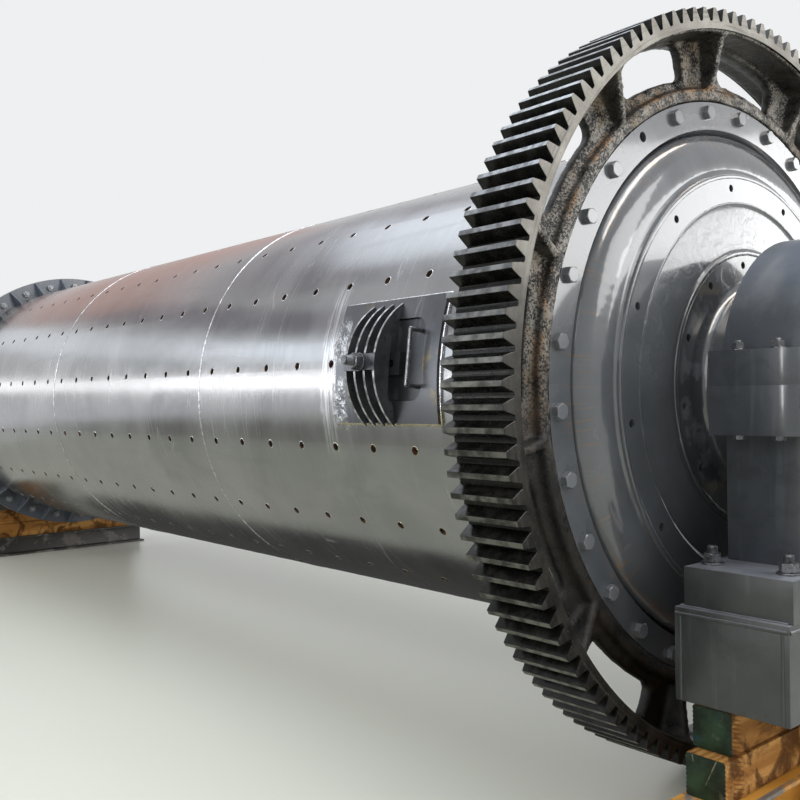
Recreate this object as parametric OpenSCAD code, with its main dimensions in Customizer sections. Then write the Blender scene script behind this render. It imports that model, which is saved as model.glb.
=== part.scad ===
// Overflow ball mill, 1.83 m bore by 6.4 m long, on its two trunnion bearings and works blocking.
// The mill axis runs along X, the gear end is at +X and the ground is at Z = 0.
// Angles round the mill are measured from the front side (-Y) upwards.

/* [Shell] */
// Bore of the shell, across the inside
shell_bore = 1830; // [1500:10:2200]
// Thickness of the shell plate
shell_plate = 30; // [16:1:40]
// Length of the course at the feed end
feed_course_length = 2200; // [2050:10:2400]
// Length of the middle course
middle_course_length = 1960; // [1960:10:2200]
// Length of the course at the discharge end
discharge_course_length = 2240; // [2120:10:2600]
// Radius of the weld bead that joins two courses
weld_bead_r = 7; // [3:0.5:12]

/* [Liner bolt holes] */
// Rows of holes round the shell
liner_rows = 18; // [12:1:24]
// Holes along one course
liner_holes_per_course = 8; // [4:1:8]
// Distance between two holes of a row
liner_hole_pitch = 245; // [150:5:245]
// Radius of a hole
liner_hole_r = 16; // [10:0.5:20]

/* [Flanges] */
// Thickness of each shell flange
shell_flange_t = 50; // [30:1:70]
// Radius of the flanges at the feed end
feed_flange_r = 1060; // [1040:1:1100]
// Radius of the flanges at the discharge end
discharge_flange_r = 1028; // [1022:1:1036]
// Radius of the circle that the flange bolts sit on
flange_bolt_circle_r = 990; // [985:1:1000]
// Number of flange bolts at each end
flange_bolts = 30; // [24:1:36]
// Radius of a flange bolt hole
flange_hole_r = 17; // [12:0.5:20]
// Length of a flange gusset along the shell
gusset_length = 110; // [60:5:160]
// Thickness of a flange gusset
gusset_t = 14; // [8:1:20]

/* [Heads] */
// Thickness of the head at its bolted rim
head_rim_t = 50; // [35:1:70]
// Height of the liner bolt ring above the seat of the head
head_ring_height = 105; // [95:1:125]
// Height of the shoulder outside the liner bolt ring
head_shoulder_height = 90; // [80:1:94]
// Radius of the corner that rounds the shoulder
head_round_r = 45; // [25:1:55]
// Outer radius of the liner bolt ring
head_ring_outer_r = 765; // [740:1:790]
// Inner radius of the liner bolt ring
head_ring_inner_r = 662; // [620:1:680]
// Radius of the circle of liner bolts on that ring
head_bolt_circle_r = 715; // [705:1:725]
// Thickness of the head wall
head_wall_t = 68; // [45:1:80]

/* [Trunnions] */
// Radius of the journal
journal_r = 350; // [320:1:365]
// Radius of the bore through the trunnion
trunnion_bore_r = 250; // [200:1:280]
// Radius of the trunnion flange
trunnion_flange_r = 490; // [470:1:510]
// Thickness of the trunnion flange
trunnion_flange_t = 56; // [40:1:70]
// Radius of the circle of bolts in the trunnion flange
trunnion_bolt_circle_r = 440; // [430:1:450]
// Radius of the small holes in the head and the trunnion flange
head_hole_r = 13; // [6:0.5:16]
// Radius of the fillet between flange and journal
trunnion_fillet_r = 38; // [15:1:42]
// How far the trunnion stands out past its bearing
trunnion_overhang = 130; // [60:5:220]
// Radius of the bolt circle in the end face of the trunnion
end_bolt_circle_r = 300; // [295:1:305]
// Number of bolt holes in the end face
end_bolts = 8; // [6:1:12]
// Radius of a bolt hole in the end face
end_hole_r = 11; // [6:0.5:14]

/* [Girth gear] */
// Module of the teeth
gear_module = 20; // [18:1:20]
// Number of teeth
gear_teeth = 130; // [126:1:131]
// Pressure angle of the teeth
pressure_angle = 20; // [18:0.5:25]
// Face width of the gear
gear_face = 250; // [200:5:300]
// Distance from the seat of the gear back to the far edge of its face
gear_back = 55; // [30:5:90]
// Thickness of the rim under the teeth
gear_rim_t = 30; // [18:1:40]
// Thickness of the hub ring that is bolted between shell and head
gear_hub_t = 45; // [30:1:60]
// Thickness of the web
gear_web_t = 45; // [30:1:60]
// Distance of the web's front past the seat of the head
gear_web_step = 25; // [10:1:30]
// Thickness of the collar round the rim of the head
gear_collar_t = 46; // [34:1:54]
// Height of the collar above the web
gear_collar_height = 33; // [18:1:45]
// Radius of the fillets where the web meets collar and rim
gear_fillet_r = 15; // [6:1:16]
// Number of ribs, with one window between each pair
gear_ribs = 12; // [8:1:16]
// Thickness of a rib
gear_rib_t = 26; // [14:1:40]
// Distance from the collar to the windows
window_inner_margin = 34; // [28:1:50]
// Distance from the windows to the rim
window_outer_margin = 17; // [16:1:50]
// Angle that a window spans
window_angle = 18.5; // [12:0.5:20]
// Radius of the corners of a window
window_corner_r = 28; // [10:1:40]

/* [Manhole] */
// Distance of the manhole from the discharge end of the shell
manhole_offset = 780; // [760:5:810]
// Length of the reinforcing plate along the shell
manhole_pad_length = 600; // [560:5:640]
// Width of the reinforcing plate round the shell
manhole_pad_width = 460; // [420:5:480]
// Thickness of the reinforcing plate
manhole_pad_t = 16; // [10:1:25]
// Length of the manhole along the shell
manhole_length = 440; // [380:5:480]
// Width of the manhole round the shell
manhole_width = 300; // [260:5:330]
// How far the inner flange of the door reaches past the manhole
door_flange = 30; // [15:1:40]
// Distance of the yoke and its bolt from the middle of the manhole, towards the gear
yoke_shift = -30; // [-40:1:0]
// Distance between neighbouring plates of the clamp yoke
yoke_pitch = 56; // [54:1:60]
// Thickness of a yoke plate
yoke_t = 11; // [6:1:14]
// Height of the yoke above the shell
yoke_height = 104; // [90:1:120]
// Radius of the clamp bolt
clamp_bolt_r = 18; // [12:1:19]
// Distance of the handle from the middle of the manhole
handle_shift = 190; // [170:1:200]
// Radius of the door handle rod
handle_rod_r = 8; // [5:0.5:12]

/* [Bearings] */
// Distance from the end of the shell to the middle of its bearing
bearing_offset = 485; // [480:5:600]
// Length of a bearing along the mill axis
bearing_length = 290; // [240:10:320]
// Radial running clearance between journal and bush
running_clearance = 0.3; // [0.2:0.05:0.5]
// Thickness of the bush
bush_t = 40; // [20:1:55]
// Outer radius of the arched bearing cap
cap_r = 504; // [480:1:520]
// Half width of the bolting lugs
lug_half_width = 573; // [560:1:590]
// Height of the cap lugs above the mill axis
cap_lug_height = 108; // [80:1:140]
// Depth of the housing lugs below the mill axis
housing_lug_depth = 148; // [110:1:180]
// Half width of the bearing column
column_half_width = 475; // [455:1:490]
// Radius of the rounded outer corners of cap, lugs and column
bearing_corner_r = 60; // [20:1:80]
// Radius of a bolt hole in the lugs
lug_hole_r = 13; // [9:0.5:14]

/* [Pedestals] */
// Height of the mill axis above the ground
axis_height = 1350; // [1335:5:1600]
// Depth of the top of the base block below the mill axis
base_depth = 540; // [500:5:560]
// Height of the base block
base_height = 120; // [80:1:140]
// Half width of the base block
base_half_width = 672; // [650:1:690]
// Half length of the base block along the mill axis
base_half_length = 175; // [170:1:190]
// Height of the welded sub-base box
sub_base_height = 280; // [240:1:280]
// Half width of the sub-base box
sub_base_half_width = 690; // [680:1:720]
// Half length of the sub-base box along the mill axis
sub_base_half_length = 185; // [180:1:200]
// Shift of the sub-base box towards the mill
sub_base_shift = 14; // [0:1:20]
// Thickness of the plates that the sub-base box is welded from
sub_base_plate = 16; // [10:1:25]
// Width of a packing timber
timber_width = 134; // [110:1:150]
// Height of a packing timber
timber_height = 125; // [100:1:130]
// How far the upper timbers reach to the front of the mill axis
upper_timber_front = 693; // [640:1:800]
// How far the lower timbers reach to the front of the mill axis
lower_timber_front = 745; // [640:1:800]
// How far the timbers reach to the back of the mill axis
timber_back = 640; // [600:1:700]
// Width of a rolled floor beam
beam_width = 195; // [180:1:210]
// Thickness of the flanges of a floor beam
beam_flange_t = 14; // [8:1:24]
// Thickness of the web of a floor beam
beam_web_t = 10; // [6:1:16]
// How far the long floor beam at the discharge end reaches to either side
beam_reach_discharge = 900; // [820:5:1100]
// How far the long floor beam at the feed end reaches to either side
beam_reach_feed = 760; // [750:5:1000]

/* [Parked position] */
// Angle that the drum is parked at
park_angle = 3; // [0:0.5:20]

/* [Hidden] */

$fn = 96;
feed = -1;
discharge = 1;
eps = 1;

shell_in_r = shell_bore / 2;
shell_r = shell_in_r + shell_plate;
shell_length = feed_course_length + middle_course_length + discharge_course_length;
shell_end = shell_length / 2;
feed_seam_x = -shell_end + feed_course_length;
discharge_seam_x = feed_seam_x + middle_course_length;
row_step = 360 / liner_rows;
first_row = 10;

bolt_step = 360 / flange_bolts;
feed_bolt_phase = 8;
discharge_bolt_phase = 11;

head_bolts = 12;
head_bolt_phase = 24;
trunnion_bolt_phase = 25;
head_spigot_depth = 40;
head_spigot_clearance = 1;
head_crease_height = 18;
head_crease_drop = 8;
head_boss_r = 560;

gear_seat_x = shell_end;
gear_pitch_r = gear_module * gear_teeth / 2;
gear_tip_r = gear_pitch_r + gear_module;
gear_root_r = gear_pitch_r - 1.25 * gear_module;
gear_rim_in_r = gear_root_r - gear_rim_t;
tooth_phase = 0.75;
rib_phase = 24.5;
rib_step = 360 / gear_ribs;
rib_setback = 16;
gear_collar_in_r = discharge_flange_r + 2;
gear_collar_r = gear_collar_in_r + gear_collar_t;
window_inner_r = gear_collar_r + window_inner_margin;
window_outer_r = gear_rim_in_r - window_outer_margin;

feed_seat_x = shell_end;
discharge_seat_x = shell_end + gear_hub_t;

manhole_x = shell_end - manhole_offset;
manhole_row = first_row;
manhole_corner_r = 60;
door_gap = 2.5;
seat_gap = 0.2;
door_out_r = shell_r + 6;
door_flange_t = 20;
door_bar_half = [115, 42];
door_bar_top = shell_r + 33;
pad_out_r = shell_r + manhole_pad_t;
yoke_x = manhole_x + yoke_shift;
yoke_angle = manhole_row - 1;
yoke_crown = shell_r + yoke_height;
yoke_bar_half = [1.5 * yoke_pitch + yoke_t / 2, 30];
yoke_bar_t = 24;
manhole_cut_depth = 80;
manhole_cut_height = 220;
manhole_patch_depth = 100;

bearing_x = shell_end + bearing_offset;
trunnion_end_x = bearing_x + bearing_length / 2 + trunnion_overhang;
bush_in_r = journal_r + running_clearance;
bush_r = bush_in_r + bush_t;
lug_bolt_y = (sqrt(cap_r * cap_r - cap_lug_height * cap_lug_height) + lug_half_width) / 2;
lug_bolt_x = 65;
stud_x = 125;
stud_y = (column_half_width + base_half_width) / 2;
stud_hole_r = 17;

base_top_z = axis_height - base_depth;
sub_base_top_z = base_top_z - base_height;
timber_top_z = sub_base_top_z - sub_base_height;
timber_mid_z = timber_top_z - timber_height;
beam_top_z = timber_mid_z - timber_height;
timber_outer_x = 37;
upper_timber_x = -141;
lower_timber_x = -132;
outer_front = 200;

// Places children at an angle round the mill, with their +Z pointing outwards.
module spoke(angle) {
    rotate([90 - angle, 0, 0]) children();
}

// Revolves a profile of [radius, distance along X] round the X axis.
module turned() {
    rotate([0, 90, 0]) rotate_extrude($fn = 180) children();
}

// Puts a piece of the drum on the mill axis, at the angle that the drum is parked at.
module on_drum() {
    translate([0, 0, axis_height]) rotate([park_angle, 0, 0]) children();
}

// Turns a piece that is drawn for the discharge end round to the given end.
module at_end(end) {
    mirror([end == feed ? 1 : 0, 0, 0]) children();
}

module tube_x(x_low, x_high, r_out, r_in) {
    turned() translate([r_in, x_low]) square([r_out - r_in, x_high - x_low]);
}

// Bolt holes parallel to the mill axis.
module axial_holes(x_low, x_high, circle_r, hole_r, count, phase, skip = -1) {
    for (i = [0:count - 1])
        if (i != skip)
            spoke(phase + i * 360 / count)
                translate([x_low, 0, circle_r])
                    rotate([0, 90, 0]) cylinder(h = x_high - x_low, r = hole_r, $fn = 32);
}

// True where a liner hole would fall under the manhole plate.
function under_manhole(x, row) =
    row == 0 && abs(x - manhole_x) < manhole_pad_length / 2 + liner_hole_r;

module shell_course(x_low, x_high, first_hole_x) {
    difference() {
        tube_x(x_low, x_high, shell_r, shell_in_r);
        for (row = [0:liner_rows - 1], i = [0:liner_holes_per_course - 1]) {
            x = first_hole_x + i * liner_hole_pitch;
            if (!under_manhole(x, row))
                spoke(first_row + row * row_step)
                    translate([x, 0, shell_in_r - 10])
                        cylinder(h = shell_plate + 20, r = liner_hole_r, $fn = 32);
        }
        manhole_opening();
    }
}

// Radial cutter or plug of the manhole, a rectangle with round corners.
module manhole_opening(grow = 0) {
    half_x = manhole_length / 2 + grow;
    half_y = manhole_width / 2 + grow;
    corner_r = manhole_corner_r + grow;
    spoke(manhole_row)
        translate([manhole_x, 0, shell_in_r - manhole_cut_depth])
            linear_extrude(height = manhole_cut_height) {
                square([2 * (half_x - corner_r), 2 * half_y], center = true);
                square([2 * half_x, 2 * (half_y - corner_r)], center = true);
                for (sx = [-1, 1], sy = [-1, 1])
                    translate([sx * (half_x - corner_r), sy * (half_y - corner_r)]) circle(r = corner_r);
            }
}

module girth_weld(x) {
    turned()
        intersection() {
            translate([shell_r, x]) circle(r = weld_bead_r, $fn = 24);
            translate([shell_r, x - 2 * weld_bead_r]) square(4 * weld_bead_r);
        }
}

module shell_flange(end, flange_r, phase) {
    at_end(end) {
        difference() {
            tube_x(shell_end - shell_flange_t, shell_end, flange_r, shell_r);
            axial_holes(shell_end - shell_flange_t - eps, shell_end + eps, flange_bolt_circle_r,
                        flange_hole_r, flange_bolts, phase);
        }
        for (i = [0:flange_bolts - 1])
            spoke(phase + (i + 0.5) * bolt_step) flange_gusset(flange_r);
    }
}

// Triangular gusset between the shell and the back of a flange.
module flange_gusset(flange_r) {
    foot = 6;
    x = shell_end - shell_flange_t;
    rotate([90, 0, 0])
        linear_extrude(height = gusset_t, center = true)
            polygon([
                [x + foot, shell_r], [x + foot, flange_r - foot], [x - foot * 3, flange_r - foot],
                [x - gusset_length, shell_r + foot], [x - gusset_length, shell_r],
            ]);
}

// Half section of a head, as [radius, height above its seat].
module head_profile(flange_r) {
    spigot_r = shell_in_r - head_spigot_clearance;
    crease_r = shell_in_r + 3;
    inner = head_ring_height - head_wall_t;
    seat = head_ring_height + 13 - trunnion_flange_t;
    spigot_bore = journal_r - 10;
    polygon([
        [flange_r, 0], [flange_r, head_rim_t], [crease_r + 14, head_rim_t],
        [crease_r, head_crease_height], [crease_r - head_round_r, head_crease_height],
        [crease_r - head_round_r, head_crease_height + head_round_r],
        [head_ring_outer_r, head_shoulder_height], [head_ring_outer_r, head_ring_height],
        [head_ring_inner_r, head_ring_height],
        [head_ring_inner_r - 6, head_ring_height - head_crease_drop],
        [trunnion_flange_r + 12, head_ring_height + 7], [trunnion_flange_r, head_ring_height + 7],
        [trunnion_flange_r, seat], [spigot_bore, seat], [spigot_bore, 5],
        [head_boss_r, 5], [head_boss_r + 40, inner], [spigot_r - 50, inner - 15],
        [spigot_r - 35, -head_spigot_depth], [spigot_r, -head_spigot_depth], [spigot_r, 0],
    ]);
    translate([crease_r - head_round_r, head_crease_height]) circle(r = head_round_r);
}

module head(end, seat_x, flange_r, phase) {
    at_end(end)
        difference() {
            translate([seat_x, 0, 0]) turned() head_profile(flange_r);
            axial_holes(seat_x - eps, seat_x + head_rim_t + eps, flange_bolt_circle_r,
                        flange_hole_r, flange_bolts, phase);
            axial_holes(seat_x, seat_x + head_ring_height + eps, head_bolt_circle_r,
                        head_hole_r, head_bolts, head_bolt_phase);
            axial_holes(seat_x, seat_x + head_ring_height + eps, trunnion_bolt_circle_r,
                        head_hole_r, head_bolts, trunnion_bolt_phase);
        }
}

// Half section of a trunnion, as [radius, height above the seat of the head].
module trunnion_profile(seat_x) {
    front = head_ring_height + 13;
    seat = front - trunnion_flange_t;
    root_r = journal_r + trunnion_fillet_r;
    end_height = trunnion_end_x - seat_x;
    difference() {
        polygon([
            [trunnion_bore_r, 5], [journal_r - 10, 5], [journal_r - 10, seat],
            [trunnion_flange_r, seat], [trunnion_flange_r, front], [root_r, front],
            [root_r, front + trunnion_fillet_r], [journal_r, front + trunnion_fillet_r],
            [journal_r, end_height - 6], [journal_r - 6, end_height], [trunnion_bore_r, end_height],
        ]);
        translate([root_r, front + trunnion_fillet_r]) circle(r = trunnion_fillet_r);
    }
}

module trunnion(end, seat_x) {
    at_end(end)
        difference() {
            translate([seat_x, 0, 0]) turned() trunnion_profile(seat_x);
            axial_holes(seat_x, seat_x + head_ring_height + 20, trunnion_bolt_circle_r,
                        head_hole_r, head_bolts, trunnion_bolt_phase);
            axial_holes(trunnion_end_x - 40, trunnion_end_x + eps, end_bolt_circle_r,
                        end_hole_r, end_bolts, 0);
        }
}

function polar_point(r, a) = [r * cos(a), r * sin(a)];

// Involute function, in degrees.
function involute(a) = tan(a) * 180 / PI - a;

// Half of the angle that a tooth spans at radius r.
function half_tooth(r) =
    90 / gear_teeth + involute(pressure_angle)
    - involute(acos(min(1, gear_pitch_r * cos(pressure_angle) / r)));

flank_radii = [gear_root_r, gear_pitch_r - 0.35 * gear_module, gear_pitch_r + 0.4 * gear_module, gear_tip_r];

// Outline of all the teeth.
gear_outline = [
    for (i = [0:gear_teeth - 1], side = [-1, 1], k = [0:len(flank_radii) - 1]) let (
        r = flank_radii[side < 0 ? k : len(flank_radii) - 1 - k],
        a = i * 360 / gear_teeth + side * half_tooth(r)
    ) polar_point(r, a)
];

// Wedge with its tip towards the origin, its two sides moved inwards by a margin.
module wedge(half_angle, margin, reach) {
    tip = [margin / sin(half_angle), 0];
    polygon([tip, tip + polar_point(reach, half_angle), tip + polar_point(reach, -half_angle)]);
}

// Flat ring sector with round corners, centred on angle 0.
module rounded_sector(r_low, r_high, half_angle, corner) {
    for (margin = [0, corner])
        intersection() {
            difference() {
                circle(r = r_high - corner + margin);
                circle(r = r_low + corner - margin);
            }
            wedge(half_angle, margin, 2 * r_high);
        }
    for (side = [-1, 1], r = [r_low + corner, r_high - corner])
        rotate(side * (half_angle - asin(corner / r))) translate([r, 0]) circle(r = corner);
}

// Turns a flat outline on [-Y, Z] into a plate across the mill axis.
module across_axis(x_low, thickness) {
    translate([x_low, 0, 0])
        rotate([90, 0, 90])
            mirror([1, 0, 0]) linear_extrude(height = thickness) children();
}

// Half section of hub ring, collar and web, as [radius, distance along X].
module gear_web_profile() {
    hub_front = gear_seat_x + gear_hub_t;
    web_front = hub_front + gear_web_step;
    web_back = web_front - gear_web_t;
    collar_front = web_front + gear_collar_height;
    web_end_r = gear_rim_in_r + 8;
    edge = 10;
    difference() {
        polygon([
            [shell_in_r, gear_seat_x], [shell_in_r, hub_front], [gear_collar_in_r, hub_front],
            [gear_collar_in_r, collar_front - edge / 2], [gear_collar_in_r + edge / 2, collar_front],
            [gear_collar_r - edge, collar_front], [gear_collar_r, collar_front - edge],
            [gear_collar_r, web_front + gear_fillet_r], [gear_collar_r + gear_fillet_r, web_front],
            [gear_rim_in_r - gear_fillet_r, web_front], [gear_rim_in_r, web_front + gear_fillet_r],
            [web_end_r, web_front + gear_fillet_r], [web_end_r, web_back], [gear_collar_r, web_back],
            [gear_collar_r, gear_seat_x],
        ]);
        for (r = [gear_collar_r + gear_fillet_r, gear_rim_in_r - gear_fillet_r])
            translate([r, web_front + gear_fillet_r]) circle(r = gear_fillet_r);
    }
}

// Tapered rib on either side of the web, as a plate that points away from the mill axis.
module gear_rib(x_hub, x_rim, x_web) {
    rotate([90, 0, 0])
        linear_extrude(height = gear_rib_t, center = true)
            polygon([
                [x_web, gear_collar_in_r + 6], [x_hub, gear_collar_in_r + 6],
                [x_rim, gear_rim_in_r + 8], [x_web, gear_rim_in_r + 8],
            ]);
}

module girth_gear() {
    web_front = gear_seat_x + gear_hub_t + gear_web_step;
    web_back = web_front - gear_web_t;
    face_back = gear_seat_x - gear_back;
    face_front = face_back + gear_face;
    difference() {
        union() {
            difference() {
                across_axis(face_back, gear_face) rotate(tooth_phase) polygon(gear_outline);
                tube_x(face_back - eps, face_front + eps, gear_rim_in_r, 0);
            }
            turned() gear_web_profile();
            for (i = [0:gear_ribs - 1])
                spoke(rib_phase + i * rib_step) {
                    gear_rib(web_front + gear_collar_height - 3, face_front - rib_setback, web_front - 2);
                    gear_rib(gear_seat_x + 6, face_back + rib_setback, web_back + 2);
                }
        }
        for (i = [0:gear_ribs - 1])
            across_axis(web_back - eps, gear_web_t + 2 * eps)
                rotate(rib_phase + (i + 0.5) * rib_step)
                    rounded_sector(window_inner_r, window_outer_r, window_angle / 2, window_corner_r);
        axial_holes(gear_seat_x - eps, gear_seat_x + gear_hub_t + eps, flange_bolt_circle_r, flange_hole_r,
                    flange_bolts, discharge_bolt_phase);
    }
}

// Part of a tube that lies under a rectangle centred on the manhole.
module manhole_patch(r_out, r_in, length, width) {
    intersection() {
        tube_x(manhole_x - length / 2, manhole_x + length / 2, r_out, r_in);
        spoke(manhole_row)
            translate([manhole_x - length / 2 - eps, -width / 2, shell_in_r - manhole_patch_depth])
                cube([length + 2 * eps, width, manhole_patch_depth + manhole_cut_height]);
    }
}

module manhole_pad() {
    difference() {
        manhole_patch(pad_out_r, shell_r, manhole_pad_length, manhole_pad_width);
        manhole_opening();
    }
}

// Door with a flange that seats on the inside of the shell and a bar that takes the clamp bolt.
module manhole_door() {
    flange_r = shell_in_r - seat_gap;
    flange_length = manhole_length + 2 * door_flange;
    flange_width = manhole_width + 2 * door_flange;
    intersection() {
        manhole_patch(door_out_r, flange_r - door_flange_t / 2, manhole_length, manhole_width);
        manhole_opening(-door_gap);
    }
    intersection() {
        manhole_patch(flange_r, flange_r - door_flange_t, flange_length, flange_width);
        manhole_opening(door_flange);
    }
    difference() {
        spoke(yoke_angle)
            translate([manhole_x - door_bar_half[0], -door_bar_half[1], door_out_r - 10])
                cube([2 * door_bar_half[0], 2 * door_bar_half[1], door_bar_top - door_out_r + 10]);
        spoke(yoke_angle)
            translate([yoke_x, 0, door_out_r])
                cylinder(h = 100, r = clamp_bolt_r + seat_gap, $fn = 32);
        spoke(yoke_angle)
            translate([manhole_x - yoke_shift + 36, 0, door_out_r + 4]) cylinder(h = 100, r = 14, $fn = 32);
    }
}

// One crescent plate of the clamp yoke, drawn across the mill axis, arched over the door.
module yoke_plate() {
    half_span = manhole_pad_width / 2 - 2;
    drop = yoke_crown - sqrt(pad_out_r * pad_out_r - half_span * half_span);
    arc_r = (half_span * half_span + drop * drop) / (2 * drop);
    arch_half = manhole_width / 2 + 2;
    arch_top = shell_r + 35;
    arch_corner_r = 50;
    rotate([90, 0, 90])
        linear_extrude(height = yoke_t, center = true)
            difference() {
                translate([0, yoke_crown - arc_r]) circle(r = arc_r, $fn = 360);
                circle(r = pad_out_r + seat_gap, $fn = 360);
                translate([-arch_half, 0]) square([2 * arch_half, arch_top - arch_corner_r]);
                translate([-arch_half + arch_corner_r, 0])
                    square([2 * (arch_half - arch_corner_r), arch_top]);
                for (s = [-1, 1])
                    translate([s * (arch_half - arch_corner_r), arch_top - arch_corner_r])
                        circle(r = arch_corner_r);
            }
}

// Four crescent plates with a cross bar let into their crowns.
module manhole_yoke() {
    bar_low = yoke_crown - yoke_bar_t;
    spoke(yoke_angle)
        translate([yoke_x, 0, 0])
            difference() {
                union() {
                    for (i = [-1.5:1:1.5])
                        translate([i * yoke_pitch, 0, 0]) yoke_plate();
                    translate([-yoke_bar_half[0], -yoke_bar_half[1], bar_low])
                        cube([2 * yoke_bar_half[0], 2 * yoke_bar_half[1], yoke_bar_t]);
                }
                translate([0, 0, bar_low - 10])
                    cylinder(h = 2 * yoke_bar_t, r = clamp_bolt_r + seat_gap, $fn = 32);
            }
}

// Stud from the door bar through the cross bar, with its washer and nut.
module manhole_clamp_bolt() {
    stud_low = door_out_r + 4;
    stud_end_r = shell_r + 175;
    washer_t = 5;
    washer_low = yoke_crown + seat_gap;
    nut_corner_r = 1.75 * clamp_bolt_r;
    nut_h = 1.6 * clamp_bolt_r;
    chamfer = 3;
    spoke(yoke_angle)
        translate([yoke_x, 0, 0]) {
            translate([0, 0, stud_low])
                cylinder(h = stud_end_r - stud_low - chamfer, r = clamp_bolt_r, $fn = 32);
            translate([0, 0, stud_end_r - chamfer])
                cylinder(h = chamfer, r1 = clamp_bolt_r, r2 = clamp_bolt_r - chamfer, $fn = 32);
            translate([0, 0, washer_low]) cylinder(h = washer_t, r = 1.9 * clamp_bolt_r, $fn = 32);
            translate([0, 0, washer_low + washer_t]) cylinder(h = nut_h, r = nut_corner_r, $fn = 6);
        }
}

// Bent rod with its two feet trimmed to the curve of the door.
module manhole_handle() {
    reach = 55;
    half = 100;
    difference() {
        spoke(manhole_row)
            translate([manhole_x + handle_shift, 0, shell_r]) {
                for (s = [-1, 1]) {
                    translate([0, s * half, -10]) cylinder(h = reach + 10, r = handle_rod_r, $fn = 24);
                    translate([0, s * half, reach]) sphere(r = handle_rod_r, $fn = 24);
                }
                translate([0, half, reach])
                    rotate([90, 0, 0]) cylinder(h = 2 * half, r = handle_rod_r, $fn = 24);
            }
        tube_x(manhole_x, manhole_x + manhole_length, door_out_r + seat_gap, 0);
    }
}

// Box along the mill axis with its two outer upright corners rounded.
module rounded_block(x_low, x_high, half_width, z_low, z_high) {
    translate([0, 0, z_low])
        linear_extrude(height = z_high - z_low) {
            translate([x_low, -half_width]) square([x_high - x_low - bearing_corner_r, 2 * half_width]);
            translate([x_low, -half_width + bearing_corner_r])
                square([x_high - x_low, 2 * (half_width - bearing_corner_r)]);
            for (s = [-1, 1])
                translate([x_high - bearing_corner_r, s * (half_width - bearing_corner_r)])
                    circle(r = bearing_corner_r);
        }
}

// Upright bolt holes through the bearing lugs.
module lug_holes() {
    for (sx = [-1, 1], sy = [-1, 1])
        translate([bearing_x + sx * lug_bolt_x, sy * lug_bolt_y, axis_height - housing_lug_depth - eps])
            cylinder(h = housing_lug_depth + cap_lug_height + 2 * eps, r = lug_hole_r, $fn = 32);
}

module bearing_bore() {
    translate([bearing_x - bearing_length, 0, axis_height])
        rotate([0, 90, 0]) cylinder(h = 2 * bearing_length, r = bush_r, $fn = 180);
}

module bearing_housing(end) {
    x_low = bearing_x - bearing_length / 2;
    x_high = bearing_x + bearing_length / 2;
    at_end(end)
        difference() {
            union() {
                rounded_block(x_low, x_high, column_half_width, base_top_z, axis_height);
                rounded_block(x_low, x_high, lug_half_width, axis_height - housing_lug_depth, axis_height);
            }
            bearing_bore();
            lug_holes();
        }
}

module bearing_cap(end) {
    x_low = bearing_x - bearing_length / 2;
    x_high = bearing_x + bearing_length / 2;
    round_r = 24;
    at_end(end)
        difference() {
            union() {
                rounded_block(x_low, x_high, lug_half_width, axis_height, axis_height + cap_lug_height);
                intersection() {
                    translate([0, 0, axis_height])
                        turned() {
                            translate([0, x_low]) square([cap_r, bearing_length - round_r]);
                            translate([0, x_low]) square([cap_r - round_r, bearing_length]);
                            translate([cap_r - round_r, x_high - round_r]) circle(r = round_r);
                        }
                    translate([x_low - eps, -cap_r - eps, axis_height])
                        cube([bearing_length + 2 * eps, 2 * cap_r + 2 * eps, cap_r + eps]);
                }
            }
            bearing_bore();
            lug_holes();
        }
}

module bearing_bush(end) {
    x_low = bearing_x - bearing_length / 2 + 5;
    x_high = bearing_x + bearing_length / 2 - 5;
    at_end(end) translate([0, 0, axis_height]) tube_x(x_low, x_high, bush_r, bush_in_r);
}

module base_block(end) {
    at_end(end)
        difference() {
            translate([bearing_x - base_half_length, -base_half_width, sub_base_top_z])
                cube([2 * base_half_length, 2 * base_half_width, base_height]);
            for (sx = [-1, 1], sy = [-1, 1])
                translate([bearing_x - sub_base_shift + sx * stud_x, sy * stud_y, sub_base_top_z - eps])
                    cylinder(h = base_height + 2 * eps, r = stud_hole_r, $fn = 32);
        }
}

module sub_base(end) {
    x = bearing_x - sub_base_shift;
    at_end(end)
        difference() {
            translate([x - sub_base_half_length, -sub_base_half_width, timber_top_z])
                cube([2 * sub_base_half_length, 2 * sub_base_half_width, sub_base_height]);
            translate([x - sub_base_half_length + sub_base_plate, -sub_base_half_width + sub_base_plate,
                       timber_top_z + sub_base_plate])
                cube([2 * (sub_base_half_length - sub_base_plate),
                      2 * (sub_base_half_width - sub_base_plate), sub_base_height - 2 * sub_base_plate]);
        }
}

// A pair of timbers laid across the mill, the inner one reaching further forward.
module timbers(end, z_low, front, x_inner) {
    at_end(end) {
        translate([bearing_x + x_inner, -front, z_low])
            cube([timber_width, front + timber_back, timber_height]);
        translate([bearing_x + timber_outer_x, -outer_front, z_low])
            cube([timber_width, outer_front + timber_back, timber_height]);
    }
}

// Rolled beam laid across the mill on the ground, centred on x.
module rolled_beam(x, front, back) {
    for (z = [0, beam_top_z - beam_flange_t])
        translate([x - beam_width / 2, -front, z]) cube([beam_width, front + back, beam_flange_t]);
    translate([x - beam_web_t / 2, -front, beam_flange_t - eps])
        cube([beam_web_t, front + back, beam_top_z - 2 * beam_flange_t + 2 * eps]);
}

// The long beam under the inner timbers and the shorter one under the outer timbers.
module floor_beam(end, reach) {
    x_inner = bearing_x - 47;
    gap = 10;
    at_end(end) {
        rolled_beam(x_inner, reach, reach);
        rolled_beam(x_inner + beam_width + gap, outer_front, reach - 40);
    }
}

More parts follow.
